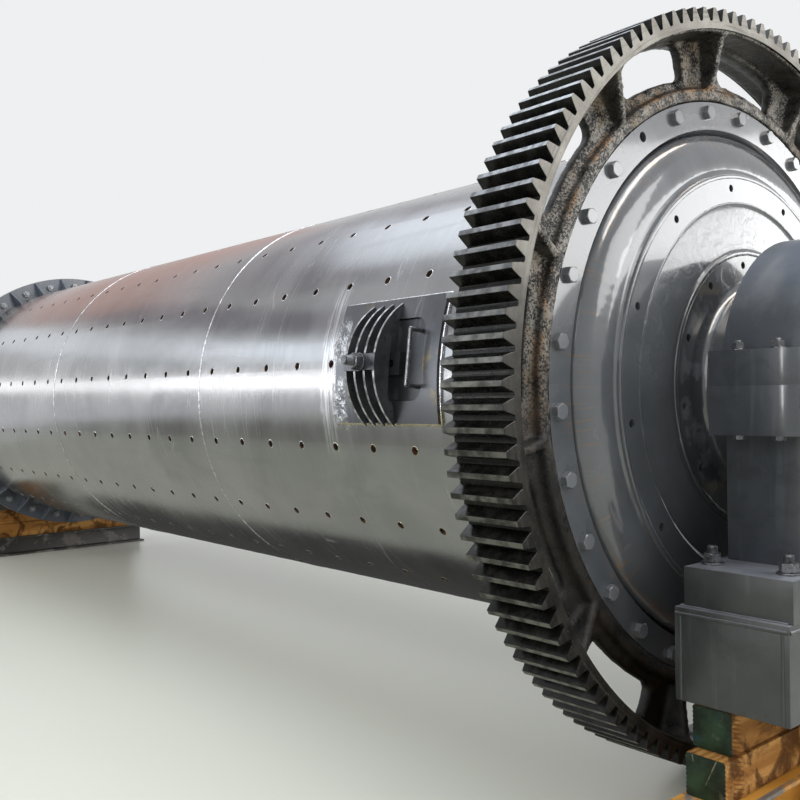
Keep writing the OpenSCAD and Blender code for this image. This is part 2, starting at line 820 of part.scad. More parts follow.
hole_run = (liner_holes_per_course - 1) * liner_hole_pitch;
middle_first_x = feed_seam_x + (middle_course_length - hole_run) / 2;
feed_first_x = feed_seam_x - liner_hole_pitch / 2 - hole_run;
discharge_first_x = discharge_seam_x + liner_hole_pitch / 2;

color("silver") on_drum() shell_course(-shell_end, feed_seam_x, feed_first_x);  // shell_course_feed
color("silver") on_drum() shell_course(feed_seam_x, discharge_seam_x, middle_first_x);  // shell_course_middle
color("silver") on_drum() shell_course(discharge_seam_x, shell_end, discharge_first_x);  // shell_course_discharge
color("gainsboro") on_drum() girth_weld(feed_seam_x);  // girth_weld_feed
color("gainsboro") on_drum() girth_weld(discharge_seam_x);  // girth_weld_discharge
color("dimgray") on_drum() shell_flange(feed, feed_flange_r, feed_bolt_phase);  // shell_flange_feed
color("dimgray") on_drum() shell_flange(discharge, discharge_flange_r, discharge_bolt_phase);  // shell_flange_discharge
color("slategray") on_drum() head(feed, feed_seat_x, feed_flange_r, feed_bolt_phase);  // head_feed
color("lightgray") on_drum() head(discharge, discharge_seat_x, discharge_flange_r, discharge_bolt_phase);  // head_discharge
color("silver") on_drum() trunnion(feed, feed_seat_x);  // trunnion_feed
color("silver") on_drum() trunnion(discharge, discharge_seat_x);  // trunnion_discharge
color("tan") on_drum() girth_gear();
color("darkgray") on_drum() manhole_pad();
color("gray") on_drum() manhole_door();
color("dimgray") on_drum() manhole_yoke();
color("silver") on_drum() manhole_clamp_bolt();
color("silver") on_drum() manhole_handle();
color("slategray") bearing_housing(feed);  // bearing_housing_feed
color("slategray") bearing_housing(discharge);  // bearing_housing_discharge
color("slategray") bearing_cap(feed);  // bearing_cap_feed
color("slategray") bearing_cap(discharge);  // bearing_cap_discharge
color("goldenrod") bearing_bush(feed);  // bearing_bush_feed
color("goldenrod") bearing_bush(discharge);  // bearing_bush_discharge
color("slategray") base_block(feed);  // base_block_feed
color("slategray") base_block(discharge);  // base_block_discharge
color("slategray") sub_base(feed);  // sub_base_feed
color("slategray") sub_base(discharge);  // sub_base_discharge
color("peru") timbers(feed, timber_mid_z, upper_timber_front, upper_timber_x);  // timber_upper_feed
color("peru") timbers(discharge, timber_mid_z, upper_timber_front, upper_timber_x);  // timber_upper_discharge
color("peru") timbers(feed, beam_top_z, lower_timber_front, lower_timber_x);  // timber_lower_feed
color("peru") timbers(discharge, beam_top_z, lower_timber_front, lower_timber_x);  // timber_lower_discharge
color("goldenrod") floor_beam(feed, beam_reach_feed);  // floor_beam_feed
color("goldenrod") floor_beam(discharge, beam_reach_discharge);  // floor_beam_discharge
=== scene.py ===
import math
import random
from functools import cached_property

import bmesh
import bpy
from mathutils import Matrix, Vector, noise
from mathutils.geometry import tessellate_polygon


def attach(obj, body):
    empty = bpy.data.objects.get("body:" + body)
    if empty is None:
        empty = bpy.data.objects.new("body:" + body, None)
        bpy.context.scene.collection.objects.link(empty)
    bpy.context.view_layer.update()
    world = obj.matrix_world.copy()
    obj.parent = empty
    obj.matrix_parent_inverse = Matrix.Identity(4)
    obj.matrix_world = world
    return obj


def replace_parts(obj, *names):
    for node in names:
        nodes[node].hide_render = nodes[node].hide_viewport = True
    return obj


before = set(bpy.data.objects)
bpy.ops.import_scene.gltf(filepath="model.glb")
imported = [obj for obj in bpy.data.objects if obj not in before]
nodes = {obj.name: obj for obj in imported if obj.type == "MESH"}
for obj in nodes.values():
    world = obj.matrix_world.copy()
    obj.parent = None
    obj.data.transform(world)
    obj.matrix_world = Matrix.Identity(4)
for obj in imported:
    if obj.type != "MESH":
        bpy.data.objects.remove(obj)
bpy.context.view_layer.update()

random.seed(7)

# Ends of the mill, each with its side of the middle
ENDS = {"feed": -1, "discharge": 1}

# Sizes that repeat the solids, in metres and degrees
AXIS_Z = 1.35
PARK_ANGLE = 3
SHELL_R = 0.945
SHELL_END = 3.2
FLANGE_T = 0.05
RIM_T = 0.05
WEB_T = 0.045
FLANGE_BOLT_R = 0.99
FLANGE_BOLTS = 30
BOLT_PHASE = {"feed": 8, "discharge": 11}
EMPTY_HOLE_ANGLE = 59
SEAM_X = {"feed": -1.0, "discharge": 0.96}
MANHOLE_X = 2.42
PAD_HALF_LENGTH = 0.3
PAD_HALF_WIDTH = 0.23
YOKE_X = 2.39
YOKE_ANGLE = 9
YOKE_CROWN_R = 1.049
BEARING_X = 3.685
LUG_BOLT_X = 0.065
LUG_TOP_Z = AXIS_Z + 0.108
LUG_LOW_Z = AXIS_Z - 0.148
LUG_BOLT_Y = 0.5326
STUD_X = 0.125
STUD_Y = 0.5735
SUB_BASE_SHIFT = 0.014
BASE_TOP_Z = 0.81
TEETH = 130
PRESSURE_ANGLE = 20
PITCH_R = 1.3
TIP_R = 1.32
ROOT_R = 1.275
TOOTH_PHASE = 0.75
RIM_IN_R = 1.25
CAST_RIM_R = 1.243
CAST_RIM_OUT_R = 1.264
RIM_BACK = 3.145
RIM_FRONT = 3.395
WEB_IN_R = 1.05
WEB_OUT_R = 1.257
WEB_BACK = 3.225
WEB_FRONT = 3.27
COLLAR_IN_R = 1.03
COLLAR_R = 1.076
COLLAR_BACK = 3.2
COLLAR_FRONT = 3.303
RIBS = 12
RIB_PHASE = 24.5
RIB_T = 0.03
RIB_FOOT_R = 1.034
RIB_TOP_R = 1.255
RIB_SETBACK = 0.016
WINDOW_IN_R = 1.11
WINDOW_OUT_R = 1.228
WINDOW_HALF = 9.25
WINDOW_CORNER = 0.028
HOLE_PITCH = 0.245
HOLE_R = 0.016
FIRST_HOLE = -7.5
HOLE_COLUMNS = 24
FIRST_ROW = 10
ROWS = 18
BASE_HALF = (0.175, 0.672)
SUB_BASE_HALF = (0.185, 0.69)
SUB_BASE_TOP_Z = 0.69
SUB_BASE_PLATE = 0.016
TIMBER_TOP_Z = 0.41
TIMBER_W = 0.134
TIMBER_H = 0.125
TIMBER_BACK = 0.64
TIMBER_OUTER_X = 0.037
OUTER_FRONT = 0.2
SAW_SLANT = 0.32
SAW_PITCH = 480

# Nuts: width across flats and height, then radius and thickness of the washer
FLANGE_NUT = (0.046, 0.024, 0.028, 0.005)
CLAMP_NUT = (0.054, 0.0285, 0.034, 0.005)
LUG_NUT = (0.036, 0.019, 0.023, 0.004)
BASE_NUT = (0.05, 0.028, 0.036, 0.005)


# Places on the drum

def around(x, radius, degrees):
    """Point on the drum at a local angle, measured from the front side upwards."""
    a = math.radians(degrees - PARK_ANGLE)
    return Vector((x, -radius * math.cos(a), AXIS_Z + radius * math.sin(a)))


def outward(degrees):
    a = math.radians(degrees - PARK_ANGLE)
    return Vector((0, -math.cos(a), math.sin(a)))


def along(place, direction, turn=0.0):
    """Matrix that takes +Z of a small part to a direction at a place."""
    turned = direction.to_track_quat("Z", "Y").to_matrix().to_4x4()
    return Matrix.Translation(place) @ turned @ Matrix.Rotation(turn, 4, "Z")


def turns(count):
    """Evenly spaced angles of one full turn, in radians."""
    return [2 * math.pi * i / count for i in range(count)]


# Mesh pieces

def add_piece(name, verts, faces, material, body, crease=32, weld=False):
    mesh = bpy.data.meshes.new(name)
    mesh.from_pydata([tuple(v) for v in verts], [], faces)
    shape = bmesh.new()
    shape.from_mesh(mesh)
    if weld:
        bmesh.ops.remove_doubles(shape, verts=shape.verts, dist=1e-5)
    bmesh.ops.recalc_face_normals(shape, faces=shape.faces)
    for face in shape.faces:
        face.smooth = True
    for edge in shape.edges:
        edge.smooth = edge.calc_face_angle(math.pi) < math.radians(crease)
    shape.to_mesh(mesh)
    shape.free()
    piece = bpy.data.objects.new(name, mesh)
    bpy.context.scene.collection.objects.link(piece)
    mesh.materials.append(material)
    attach(piece, body)
    return piece


class Shape:
    """Vertices and faces that are gathered for one piece."""

    def __init__(self):
        self.verts = []
        self.faces = []

    def add(self, verts, faces, matrix=None):
        start = len(self.verts)
        self.verts += [matrix @ Vector(v) for v in verts] if matrix else [Vector(v) for v in verts]
        self.faces += [[start + i for i in f] for f in faces]

    def rings(self, rings, matrix=None, caps=True):
        """Rings of equal point count that are joined one to the next, closed round."""
        n = len(rings[0])
        last = (len(rings) - 1) * n
        faces = []
        for k in range(0, last, n):
            for i in range(n):
                j = (i + 1) % n
                faces.append([k + i, k + j, k + n + j, k + n + i])
        if caps:
            faces += [list(range(n))[::-1], [last + i for i in range(n)]]
        self.add([p for ring in rings for p in ring], faces, matrix)

    def turned(self, profile, matrix=None, count=32, closed=False):
        """Revolves [radius, height] points round +Z, closed by caps or into a ring."""
        rings = [[(r * math.cos(a), r * math.sin(a), z) for a in turns(count)] for r, z in profile]
        self.rings(rings + rings[:1] if closed else rings, matrix, caps=not closed)

    def hexagon(self, flat, height, matrix, chamfer_foot=False):
        """Hexagonal head or nut with chamfered corners, standing on its foot."""
        face_r = flat / 2 * 0.94
        slope = math.tan(math.radians(30))

        def circle(z):
            return [(face_r * math.cos(a), face_r * math.sin(a), z) for a in turns(36)]

        def ring(z, lean):
            points = []
            for a in turns(36):
                r = flat / 2 / math.cos((a + math.pi / 6) % (math.pi / 3) - math.pi / 6)
                points.append((r * math.cos(a), r * math.sin(a), z - lean * (r - face_r) * slope))
            return points

        foot = [circle(0), ring(0, -1)] if chamfer_foot else [ring(0, 0)]
        self.rings(foot + [ring(height, 1), circle(height)], matrix)

    def washer(self, radius, thickness, matrix):
        c = thickness * 0.25
        self.turned([(radius - c, 0), (radius, c), (radius, thickness - c), (radius - c, thickness)], matrix)

    def nut(self, sizes, matrix):
        """Nut on its washer."""
        flat, height, washer_r, washer_t = sizes
        self.washer(washer_r, washer_t, matrix)
        self.hexagon(flat, height, matrix @ Matrix.Translation((0, 0, washer_t)), chamfer_foot=True)

    def stud(self, radius, length, matrix, pitch=0.003):
        """Threaded rod end: ridges of the thread, then a chamfer."""
        profile = [(radius * 0.92, 0)]
        z = 0.0
        while z + pitch < length - radius * 0.2:
            profile += [(radius, z + pitch * 0.45), (radius * 0.88, z + pitch)]
            z += pitch
        profile += [(radius * 0.93, length - radius * 0.15), (radius * 0.78, length)]
        self.turned(profile, matrix, count=24)

    def ring_solid(self, profile, count=360):
        """Revolves a closed outline of [x, radius] points round the mill axis."""
        rings = [[around(x, radius, 360 * i / count) for i in range(count)] for x, radius in profile]
        self.rings(rings + rings[:1], caps=False)

    def radial_plate(self, outline, degrees, thickness):
        """Plate of [x, radius] corners that points away from the mill axis."""
        side = outward(degrees + 90) * thickness / 2
        middle = [around(x, radius, degrees) for x, radius in outline]
        self.rings([[p - side for p in middle], [p + side for p in middle]])

    def bead(self, path, normals, width, closed=True, ripple=0.006):
        """Weld bead along a path, a low arch in section with a ripple along its length."""
        rings = []
        count = 9
        total = len(path)
        length = 0.0
        for i, place in enumerate(path):
            after = path[(i + 1) % total] if closed or i + 1 < total else place
            before = path[i - 1] if closed or i > 0 else place
            side = (after - before).normalized().cross(normals[i]).normalized()
            wave = 0.86 + 0.14 * math.cos(2 * math.pi * length / ripple) ** 2
            reach = width * wave * (1 + 0.16 * noise.noise(place * 23.0))
            arch = [math.pi * (k - 0.9) / (count - 2.8) for k in range(count)]
            rings.append([place + side * (reach * math.cos(a)) + normals[i] * (0.62 * reach * math.sin(a))
                          for a in arch])
            length += (after - place).length
        self.rings(rings + rings[:1] if closed else rings, caps=not closed)

    def piece(self, name, material, body, slot, crease=32, weld=False):
        return add_piece(name, self.verts, self.faces, material, body, crease, weld)


# Materials

def shade(color, factor):
    """Colour made darker or lighter."""
    return tuple(min(1, factor * c) for c in color)


def connect(tree, source, socket):
    """Sets a socket to a number, a vector or a colour, or links it to another socket."""
    if isinstance(source, (int, float)):
        socket.default_value = source
    elif isinstance(source, tuple):
        socket.default_value = (*source, 1) if socket.type == "RGBA" else source
    else:
        tree.links.new(source, socket)


def add_node(tree, kind, inputs=None, **settings):
    """Adds a node with its settings, and with a value or a source for each input that is named."""
    made = tree.nodes.new(kind)
    for key, value in settings.items():
        setattr(made, key, value)
    for key, source in (inputs or {}).items():
        connect(tree, source, made.inputs[key])
    return made


class Paint:
    """Principled material with its node helpers."""

    def __init__(self, name, color, metallic=0.0, roughness=0.5, coat=0.0, coat_rough=0.12, specular=0.5):
        self.material = bpy.data.materials.new(name)
        self.material.use_nodes = True
        self.tree = self.material.node_tree
        self.shader = self.tree.nodes["Principled BSDF"]
        self.color(color)
        self.metal(metallic)
        self.rough(roughness)
        self.set("Coat Weight", coat)
        self.set("Coat Roughness", coat_rough)
        self.set("Specular IOR Level", specular)
        self.place = self.node("ShaderNodeTexCoord", output="Object")
        self.height = None

    def set(self, socket, source):
        connect(self.tree, source, self.shader.inputs[socket])

    def color(self, source):
        self.set("Base Color", source)

    def metal(self, source):
        self.set("Metallic", source)

    def rough(self, source):
        self.set("Roughness", source)

    def node(self, kind, inputs=None, output=0, **settings):
        """Output of a new node."""
        return add_node(self.tree, kind, inputs, **settings).outputs[output]

    def math(self, operation, *values):
        return self.node("ShaderNodeMath", dict(enumerate(values)), operation=operation)

    def times(self, *factors):
        """Product of two or more values."""
        product = factors[0]
        for factor in factors[1:]:
            product = self.math("MULTIPLY", product, factor)
        return product

    def split(self, vector):
        """The three parts of a vector."""
        return add_node(self.tree, "ShaderNodeSeparateXYZ", {0: vector}).outputs

    @cached_property
    def x(self):
        return self.split(self.place)[0]

    @cached_property
    def y(self):
        return self.split(self.place)[1]

    @cached_property
    def z(self):
        """Height over the mill axis."""
        return self.math("SUBTRACT", self.split(self.place)[2], AXIS_Z)

    @cached_property
    def radius(self):
        """Distance from the mill axis."""
        return self.math("SQRT", self.math("ADD", self.times(self.y, self.y), self.times(self.z, self.z)))

    @cached_property
    def polar(self):
        """Distance from the mill axis, with the direction round it."""
        across, upwards = [self.math("DIVIDE", part, self.radius) for part in (self.y, self.z)]
        return self.node("ShaderNodeCombineXYZ", {0: self.radius, 1: across, 2: upwards})

    def facing(self, axis):
        """How squarely the surface looks along an axis, from -1 to 1."""
        return self.split(self.node("ShaderNodeNewGeometry", output="Normal"))[axis]

    def range(self, value, low, high, to_low=0.0, to_high=1.0):
        """Takes one range of values to another, smoothly and no further than its ends."""
        inputs = {0: value, 1: low, 2: high, 3: to_low, 4: to_high}
        return self.node("ShaderNodeMapRange", inputs, interpolation_type="SMOOTHSTEP")

    def band(self, value, low, high, soft):
        """1 between two values, with soft ends."""
        return self.times(self.range(value, low - soft, low + soft),
                          self.range(value, high - soft, high + soft, 1, 0))

    def scaled(self, scales, vector=None):
        """The place, or another vector, with a scale of its own along each axis."""
        vector = self.place if vector is None else vector
        return self.node("ShaderNodeVectorMath", {0: vector, 1: scales}, operation="MULTIPLY")

    def noise(self, scale, vector=None, detail=4.0, rough=0.55, warp=0.0):
        inputs = {"Vector": self.place if vector is None else vector, "Scale": scale, "Detail": detail,
                  "Roughness": rough, "Distortion": warp}
        return self.node("ShaderNodeTexNoise", inputs)

    def streaks(self, scales, vector=None, **settings):
        """Noise that is drawn out along the axes with the smaller scales."""
        return self.noise(1.0, self.scaled(scales, vector), **settings)

    def patches(self, scale, low, high, to_low=0.0, to_high=1.0, **settings):
        """Noise that changes from one value to another within a part of its range."""
        return self.range(self.noise(scale, **settings), low, high, to_low, to_high)

    def cells(self, scale, vector=None, feature="F1"):
        inputs = {"Vector": self.place if vector is None else vector, "Scale": scale}
        return self.node("ShaderNodeTexVoronoi", inputs, feature=feature)

    def mix(self, factor, a, b):
        """Mix of two colours."""
        return self.node("ShaderNodeMix", {0: factor, 6: a, 7: b}, output=2, data_type="RGBA")

    def blend(self, factor, a, b):
        """Mix of two numbers."""
        return self.node("ShaderNodeMix", {0: factor, 2: a, 3: b}, data_type="FLOAT")

    def bump(self, height, distance, strength=1.0):
        """Adds relief of a height in metres, on top of any that is there."""
        inputs = {"Strength": strength, "Distance": distance, "Height": height}
        if self.height is not None:
            inputs["Normal"] = self.height
        self.height = self.node("ShaderNodeBump", inputs)
        self.set("Normal", self.height)


def rolled_steel(name, dark, light, rough_low, rough_high):
    """Rolled plate: gloss that varies in hoops and clouds, streaks along it and thin scratches."""
    m = Paint(name, light, metallic=1.0, roughness=rough_low)
    hoops = m.streaks((26, 1.1, 1.1), detail=6, rough=0.6)
    clouds = m.noise(1.5, detail=6, rough=0.6, warp=0.6)
    smears = m.streaks((0.9, 6, 6), detail=6, warp=1.0)
    tone = m.mix(m.range(clouds, 0.32, 0.68), dark, light)
    tone = m.mix(m.range(smears, 0.54, 0.76, 0, 0.35), tone, shade(dark, 0.72))
    tone = m.mix(m.range(hoops, 0.56, 0.74, 0, 0.12), tone, shade(light, 1.5))
    scratch = m.cells(1.0, m.scaled((11, 0.9, 0.9)), feature="DISTANCE_TO_EDGE")
    scratch = m.range(scratch, 0.0, 0.016, 1.0, 0.0)
    scratch = m.times(scratch, m.patches(2.3, 0.5, 0.6))
    tone = m.mix(m.times(scratch, 0.2), tone, (0.75, 0.75, 0.77))
    gloss = m.math("MULTIPLY_ADD", m.range(clouds, 0.25, 0.75), rough_high - rough_low, rough_low)
    gloss = m.math("MULTIPLY_ADD", m.range(hoops, 0.35, 0.7), 0.035, gloss)
    gloss = m.math("MULTIPLY_ADD", scratch, 0.12, gloss)
    m.color(tone)
    m.rough(gloss)
    m.bump(m.noise(1.1, detail=2), 0.012, 0.3)
    m.bump(m.noise(7), 0.0008, 0.3)
    m.bump(hoops, 0.0001, 0.1)
    return m, tone, gloss


def beside_manhole(m, tone, gloss):
    """Adds the ground and spattered metal on the feed side of the manhole to a steel."""
    front = m.range(m.y, -0.6, -0.5, 1, 0)
    ragged = m.math("MULTIPLY_ADD", m.noise(18, detail=6), 0.07, m.math("SUBTRACT", m.x, 0.035))
    tall = m.math("MAXIMUM", m.band(m.z, 0.13, 0.28, 0.03), m.band(m.z, -0.125, 0.05, 0.03))
    near = m.times(m.band(ragged, 2.088, 2.183, 0.01), tall, front,
                   m.patches(24, 0.4, 0.54, 0.25, 1, detail=6, warp=0.8))
    spatter = m.patches(60, 0.42, 0.58, detail=6, rough=0.68, warp=1.5)
    tone = m.mix(near, tone, m.mix(spatter, (0.12, 0.12, 0.13), (0.66, 0.68, 0.72)))
    ground = m.times(m.band(ragged, 2.0, 2.09, 0.02), m.band(m.z, -0.2, 0.42, 0.08), front,
                     m.range(m.streaks((110, 5, 5)), 0.42, 0.62))
    tone = m.mix(m.times(ground, 0.65), tone, (0.78, 0.79, 0.82))
    m.bump(m.times(near, m.noise(42)), 0.007, 0.8)
    return tone, m.blend(near, gloss, 0.3)


def shell_plate():
    """Steel of the shell, with rust inside its holes."""
    dark, light = (0.27, 0.274, 0.282), (0.36, 0.364, 0.372)
    m, tone, gloss = rolled_steel("rolled_shell_steel", dark, light, 0.17, 0.26)
    tone, gloss = beside_manhole(m, tone, gloss)
    inner = m.range(m.radius, 0.9425, 0.944, 1, 0)
    rust = m.mix(m.patches(70, 0.4, 0.65), (0.02, 0.011, 0.007), (0.15, 0.06, 0.022))
    m.color(m.mix(inner, tone, rust))
    m.metal(m.blend(inner, 1.0, 0.0))
    m.rough(m.blend(inner, gloss, 0.85))
    return m.material


def pad_plate():
    """Duller plate round the manhole, ground on its feed side and stained low down."""
    m, tone, gloss = rolled_steel("manhole_pad_steel", (0.09, 0.095, 0.105), (0.16, 0.166, 0.18), 0.24, 0.36)
    tone, gloss = beside_manhole(m, tone, gloss)
    stain = m.times(m.patches(14, 0.56, 0.7, 0, 0.7, detail=5), m.patches(4, 0.45, 0.6))
    m.color(m.mix(stain, tone, (0.36, 0.27, 0.12)))
    m.rough(gloss)
    return m.material


def weld_steel():
    """Bright weld metal, with a yellow tint where it was brushed with primer low on the manhole."""
    m = Paint("weld_bead", (0.72, 0.72, 0.73), metallic=1.0, roughness=0.26)
    tone = m.mix(m.patches(60, 0.4, 0.7), (0.42, 0.42, 0.44), (0.8, 0.8, 0.82))
    stained = m.times(m.range(m.x, 2.0, 2.1), m.range(m.z, -0.08, -0.04, 0.7, 0))
    m.color(m.mix(stained, tone, (0.36, 0.31, 0.14)))
    m.rough(m.patches(110, 0.3, 0.7, 0.18, 0.36))
    m.bump(m.noise(500), 0.0003, 0.5)
    return m.material


def yoke_steel():
    """Flame-cut plates with dark faces and edges that are worn bright."""
    m = Paint("manhole_steel", (0.06, 0.064, 0.07), metallic=0.5, roughness=0.36)
    face = m.range(m.math("ABSOLUTE", m.facing(0)), 0.4, 0.75)
    dark = m.mix(m.patches(12, 0.35, 0.65, detail=5), (0.035, 0.038, 0.042), (0.075, 0.08, 0.086))
    worn = m.mix(m.patches(40, 0.4, 0.62, detail=5), (0.2, 0.2, 0.205), (0.55, 0.55, 0.56))
    bar_z = YOKE_CROWN_R * math.sin(math.radians(YOKE_ANGLE - PARK_ANGLE))
    worn = m.mix(m.band(m.z, bar_z - 0.034, bar_z + 0.034, 0.003), worn, (0.11, 0.115, 0.125))
    m.color(m.mix(face, worn, dark))
    m.metal(m.blend(face, 0.9, 0.25))
    m.rough(m.patches(30, 0.3, 0.7, 0.26, 0.42))
    m.bump(m.noise(45), 0.0006, 0.5)
    return m.material


def gloss_paint(name, color, rough=0.3, lumps=0.0009, spots=0.25, coat=0.3, coat_rough=0.12, strokes=None):
    """Brushed machinery paint over a casting or plate, with runs, dust and brush strokes."""
    m = Paint(name, color, roughness=rough, coat=coat, coat_rough=coat_rough)
    broad = m.noise(2.2, detail=5, warp=0.4)
    tone = m.mix(m.range(broad, 0.3, 0.72), shade(color, 0.8), shade(color, 1.22))
    speck = m.times(m.range(m.cells(150), 0.0, 0.1, 1, 0), m.patches(9, 0.52, 0.66))
    tone = m.mix(m.times(speck, spots), tone, (0.42, 0.41, 0.38))
    m.color(tone)
    m.rough(m.math("MULTIPLY_ADD", m.range(broad, 0.3, 0.7), 0.14, rough - 0.04))
    m.bump(m.noise(16, detail=3), lumps, 0.6)
    m.bump(m.noise(46), 0.0002, 0.5)
    if strokes:
        m.bump(m.streaks(strokes), 0.0006, 0.6)
    return m, tone


def dusty_paint(name, color, rough, coat, strokes, dust):
    """Machinery paint with brush strokes, streaks and dark mottles, and on what faces upwards a pale colour
    that is dust together with painted light from above.
    """
    m, tone = gloss_paint(name, color, rough=rough, lumps=0.0008, spots=0.15, coat=coat, coat_rough=0.2,
                          strokes=strokes)
    # Upward faces get the dust colour, which also paints the light from above on their tops.
    film = m.times(m.range(m.facing(2), 0.35, 0.95, 0, 0.85), m.patches(5, 0.25, 0.6, 0.5, 1, detail=5))
    tone = m.mix(m.range(m.streaks((30, 30, 2.5), detail=5), 0.54, 0.7, 0, 0.5), tone, shade(color, 1.9))
    mottles = m.patches(8, 0.45, 0.68, 0, 0.6, detail=6, rough=0.65, warp=0.8)
    tone = m.mix(mottles, tone, shade(color, 0.45))
    m.bump(m.noise(34), 0.0014, 0.5)
    m.color(m.mix(film, tone, dust))
    return m.material


def head_paint(name, color, rubbed_neck=False):
    """Glossy paint on the cast head, brushed away from the axis, with the pitted skin of its dish below."""
    m, tone = gloss_paint(name, color, rough=0.22, lumps=0.001, coat=1.0, coat_rough=0.07)
    stroke = m.streaks((5, 70, 70), m.polar)
    shoulder = m.band(m.radius, 0.86, 0.955, 0.012)
    primer = m.range(stroke, 0.56, 0.66, 0, 0.4)
    tone = m.mix(m.times(shoulder, primer), tone, (0.2, 0.105, 0.05))
    m.bump(stroke, 0.0007, 0.5)
    m.bump(m.times(m.noise(30, detail=3, warp=0.7), shoulder), 0.0012, 0.4)
    inside = m.band(m.radius, 0.505, 0.652, 0.008)
    m.bump(m.times(m.noise(20, detail=5, warp=0.8), inside), 0.006, 0.6)
    if rubbed_neck:
        rough = m.times(m.band(m.radius, 0.36, 0.46, 0.01), m.patches(13, 0.5, 0.6, detail=6))
        tone = m.mix(m.times(rough, 0.3), tone, (0.24, 0.25, 0.27))
        m.bump(m.times(m.noise(60, detail=6), rough), 0.002, 0.5)
    m.color(tone)
    return m.material


def above_axis(m):
    """Height over the mill axis, with a ragged edge; the gear materials paint what lies below it darker, as
    shade.
    """
    return m.math("MULTIPLY_ADD", m.noise(3.5, detail=6), 0.5, m.math("SUBTRACT", m.z, 0.25))


def gear_machined_iron():
    """Machined rim with dry grease on its faces and a black film on the cut teeth; its end faces and tooth
    lands are painted darker below the axis as shade.
    """
    m = Paint("gear_machined_iron", (0.3, 0.28, 0.26), metallic=0.4, roughness=0.45, specular=0.18)
    # Painted shade: below the axis the end faces and the tooth lands turn near black.
    lit_side = m.range(above_axis(m), -0.15, 0.62)
    worn = m.mix(m.patches(7, 0.35, 0.7, detail=7, rough=0.65), (0.26, 0.24, 0.21), (0.42, 0.395, 0.355))
    shaded_ends = m.mix(m.patches(11, 0.35, 0.7, detail=6), (0.004, 0.0037, 0.003), (0.03, 0.027, 0.023))
    ends = m.mix(lit_side, shaded_ends, worn)
    smear = m.streaks((70, 3.5, 3.5), m.polar, detail=6, rough=0.65, warp=0.6)
    ends = m.mix(m.range(smear, 0.5, 0.66, 0, 0.55), ends, (0.07, 0.064, 0.055))
    speck = m.patches(160, 0.6, 0.72, 0, 0.6)
    ends = m.mix(speck, ends, (0.12, 0.105, 0.09))
    film = m.mix(m.patches(24, 0.4, 0.72, detail=6), (0.005, 0.005, 0.0045), (0.018, 0.017, 0.015))
    land = m.mix(m.patches(30, 0.35, 0.65, detail=5), (0.12, 0.125, 0.135), (0.33, 0.345, 0.37))
    shaded_land = m.mix(m.patches(26, 0.35, 0.65, detail=5), (0.03, 0.03, 0.026), (0.13, 0.13, 0.11))
    land = m.mix(lit_side, shaded_land, land)
    on_land = m.range(m.radius, 1.3192, 1.3198)
    cut = m.mix(on_land, film, land)
    face = m.math("MAXIMUM", m.range(m.x, RIM_FRONT - 0.0012, RIM_FRONT - 0.0002),
                  m.range(m.x, RIM_BACK + 0.0002, RIM_BACK + 0.0012, 1, 0))
    m.color(m.mix(face, cut, ends))
    m.metal(m.blend(face, m.blend(on_land, 0.0, 0.55), 0.12))
    wet = m.patches(34, 0.35, 0.7, 0.14, 0.32, detail=5)
    m.rough(m.blend(face, m.blend(on_land, wet, 0.36), 0.5))
    m.bump(m.streaks((900, 6, 6), m.polar, detail=2), 0.0002, 0.35)
    m.bump(m.noise(90, detail=5), 0.0006, 0.35)
    return m.material


def gear_cast_iron():
    """Sand-cast skin with black oil in its hollows and pale dust on its high spots; below the axis the dust is
    painted near black as shade.
    """
    m = Paint("gear_cast_iron", (0.2, 0.17, 0.14), roughness=0.6, specular=0.3)
    grit = m.noise(130, detail=7, rough=0.72)
    lumps = m.noise(16, detail=6, rough=0.6, warp=0.3)
    # Painted shade: below the axis the dust colour turns near black.
    lit_side = m.range(above_axis(m), -0.35, 0.3)
    front = m.range(m.x, WEB_FRONT - 0.012, WEB_FRONT - 0.004)
    dust = m.mix(m.patches(9, 0.45, 0.66), (0.37, 0.345, 0.31), (0.3, 0.23, 0.16))
    ridge = m.times(m.band(m.radius, COLLAR_R - 0.012, COLLAR_R + 0.006, 0.006), m.patches(8, 0.46, 0.6))
    dust = m.mix(m.times(ridge, 0.8), dust, (0.46, 0.235, 0.09))
    shaded_dust = m.mix(m.patches(13, 0.4, 0.7), (0.012, 0.009, 0.007), (0.05, 0.034, 0.022))
    oil = m.mix(m.range(lumps, 0.4, 0.7), (0.008, 0.0075, 0.007), (0.028, 0.024, 0.02))
    shown = m.mix(lit_side, shaded_dust, dust)
    cover = m.math("MULTIPLY_ADD", m.math("SUBTRACT", lumps, 0.5), 0.5, grit)
    cover = m.times(m.range(cover, 0.45, 0.57), m.blend(lit_side, 0.5, 1.0))
    flat = m.range(m.math("ABSOLUTE", m.facing(0)), 0.35, 0.8)
    cover = m.times(cover, m.blend(front, 0.35, 1.0), m.blend(flat, 0.12, 1.0))
    m.color(m.mix(cover, oil, shown))
    m.rough(m.math("MULTIPLY_ADD", cover, 0.35, m.range(lumps, 0.3, 0.7, 0.26, 0.42)))
    m.bump(grit, 0.004, 0.8)
    m.bump(lumps, 0.008, 0.4)
    return m.material


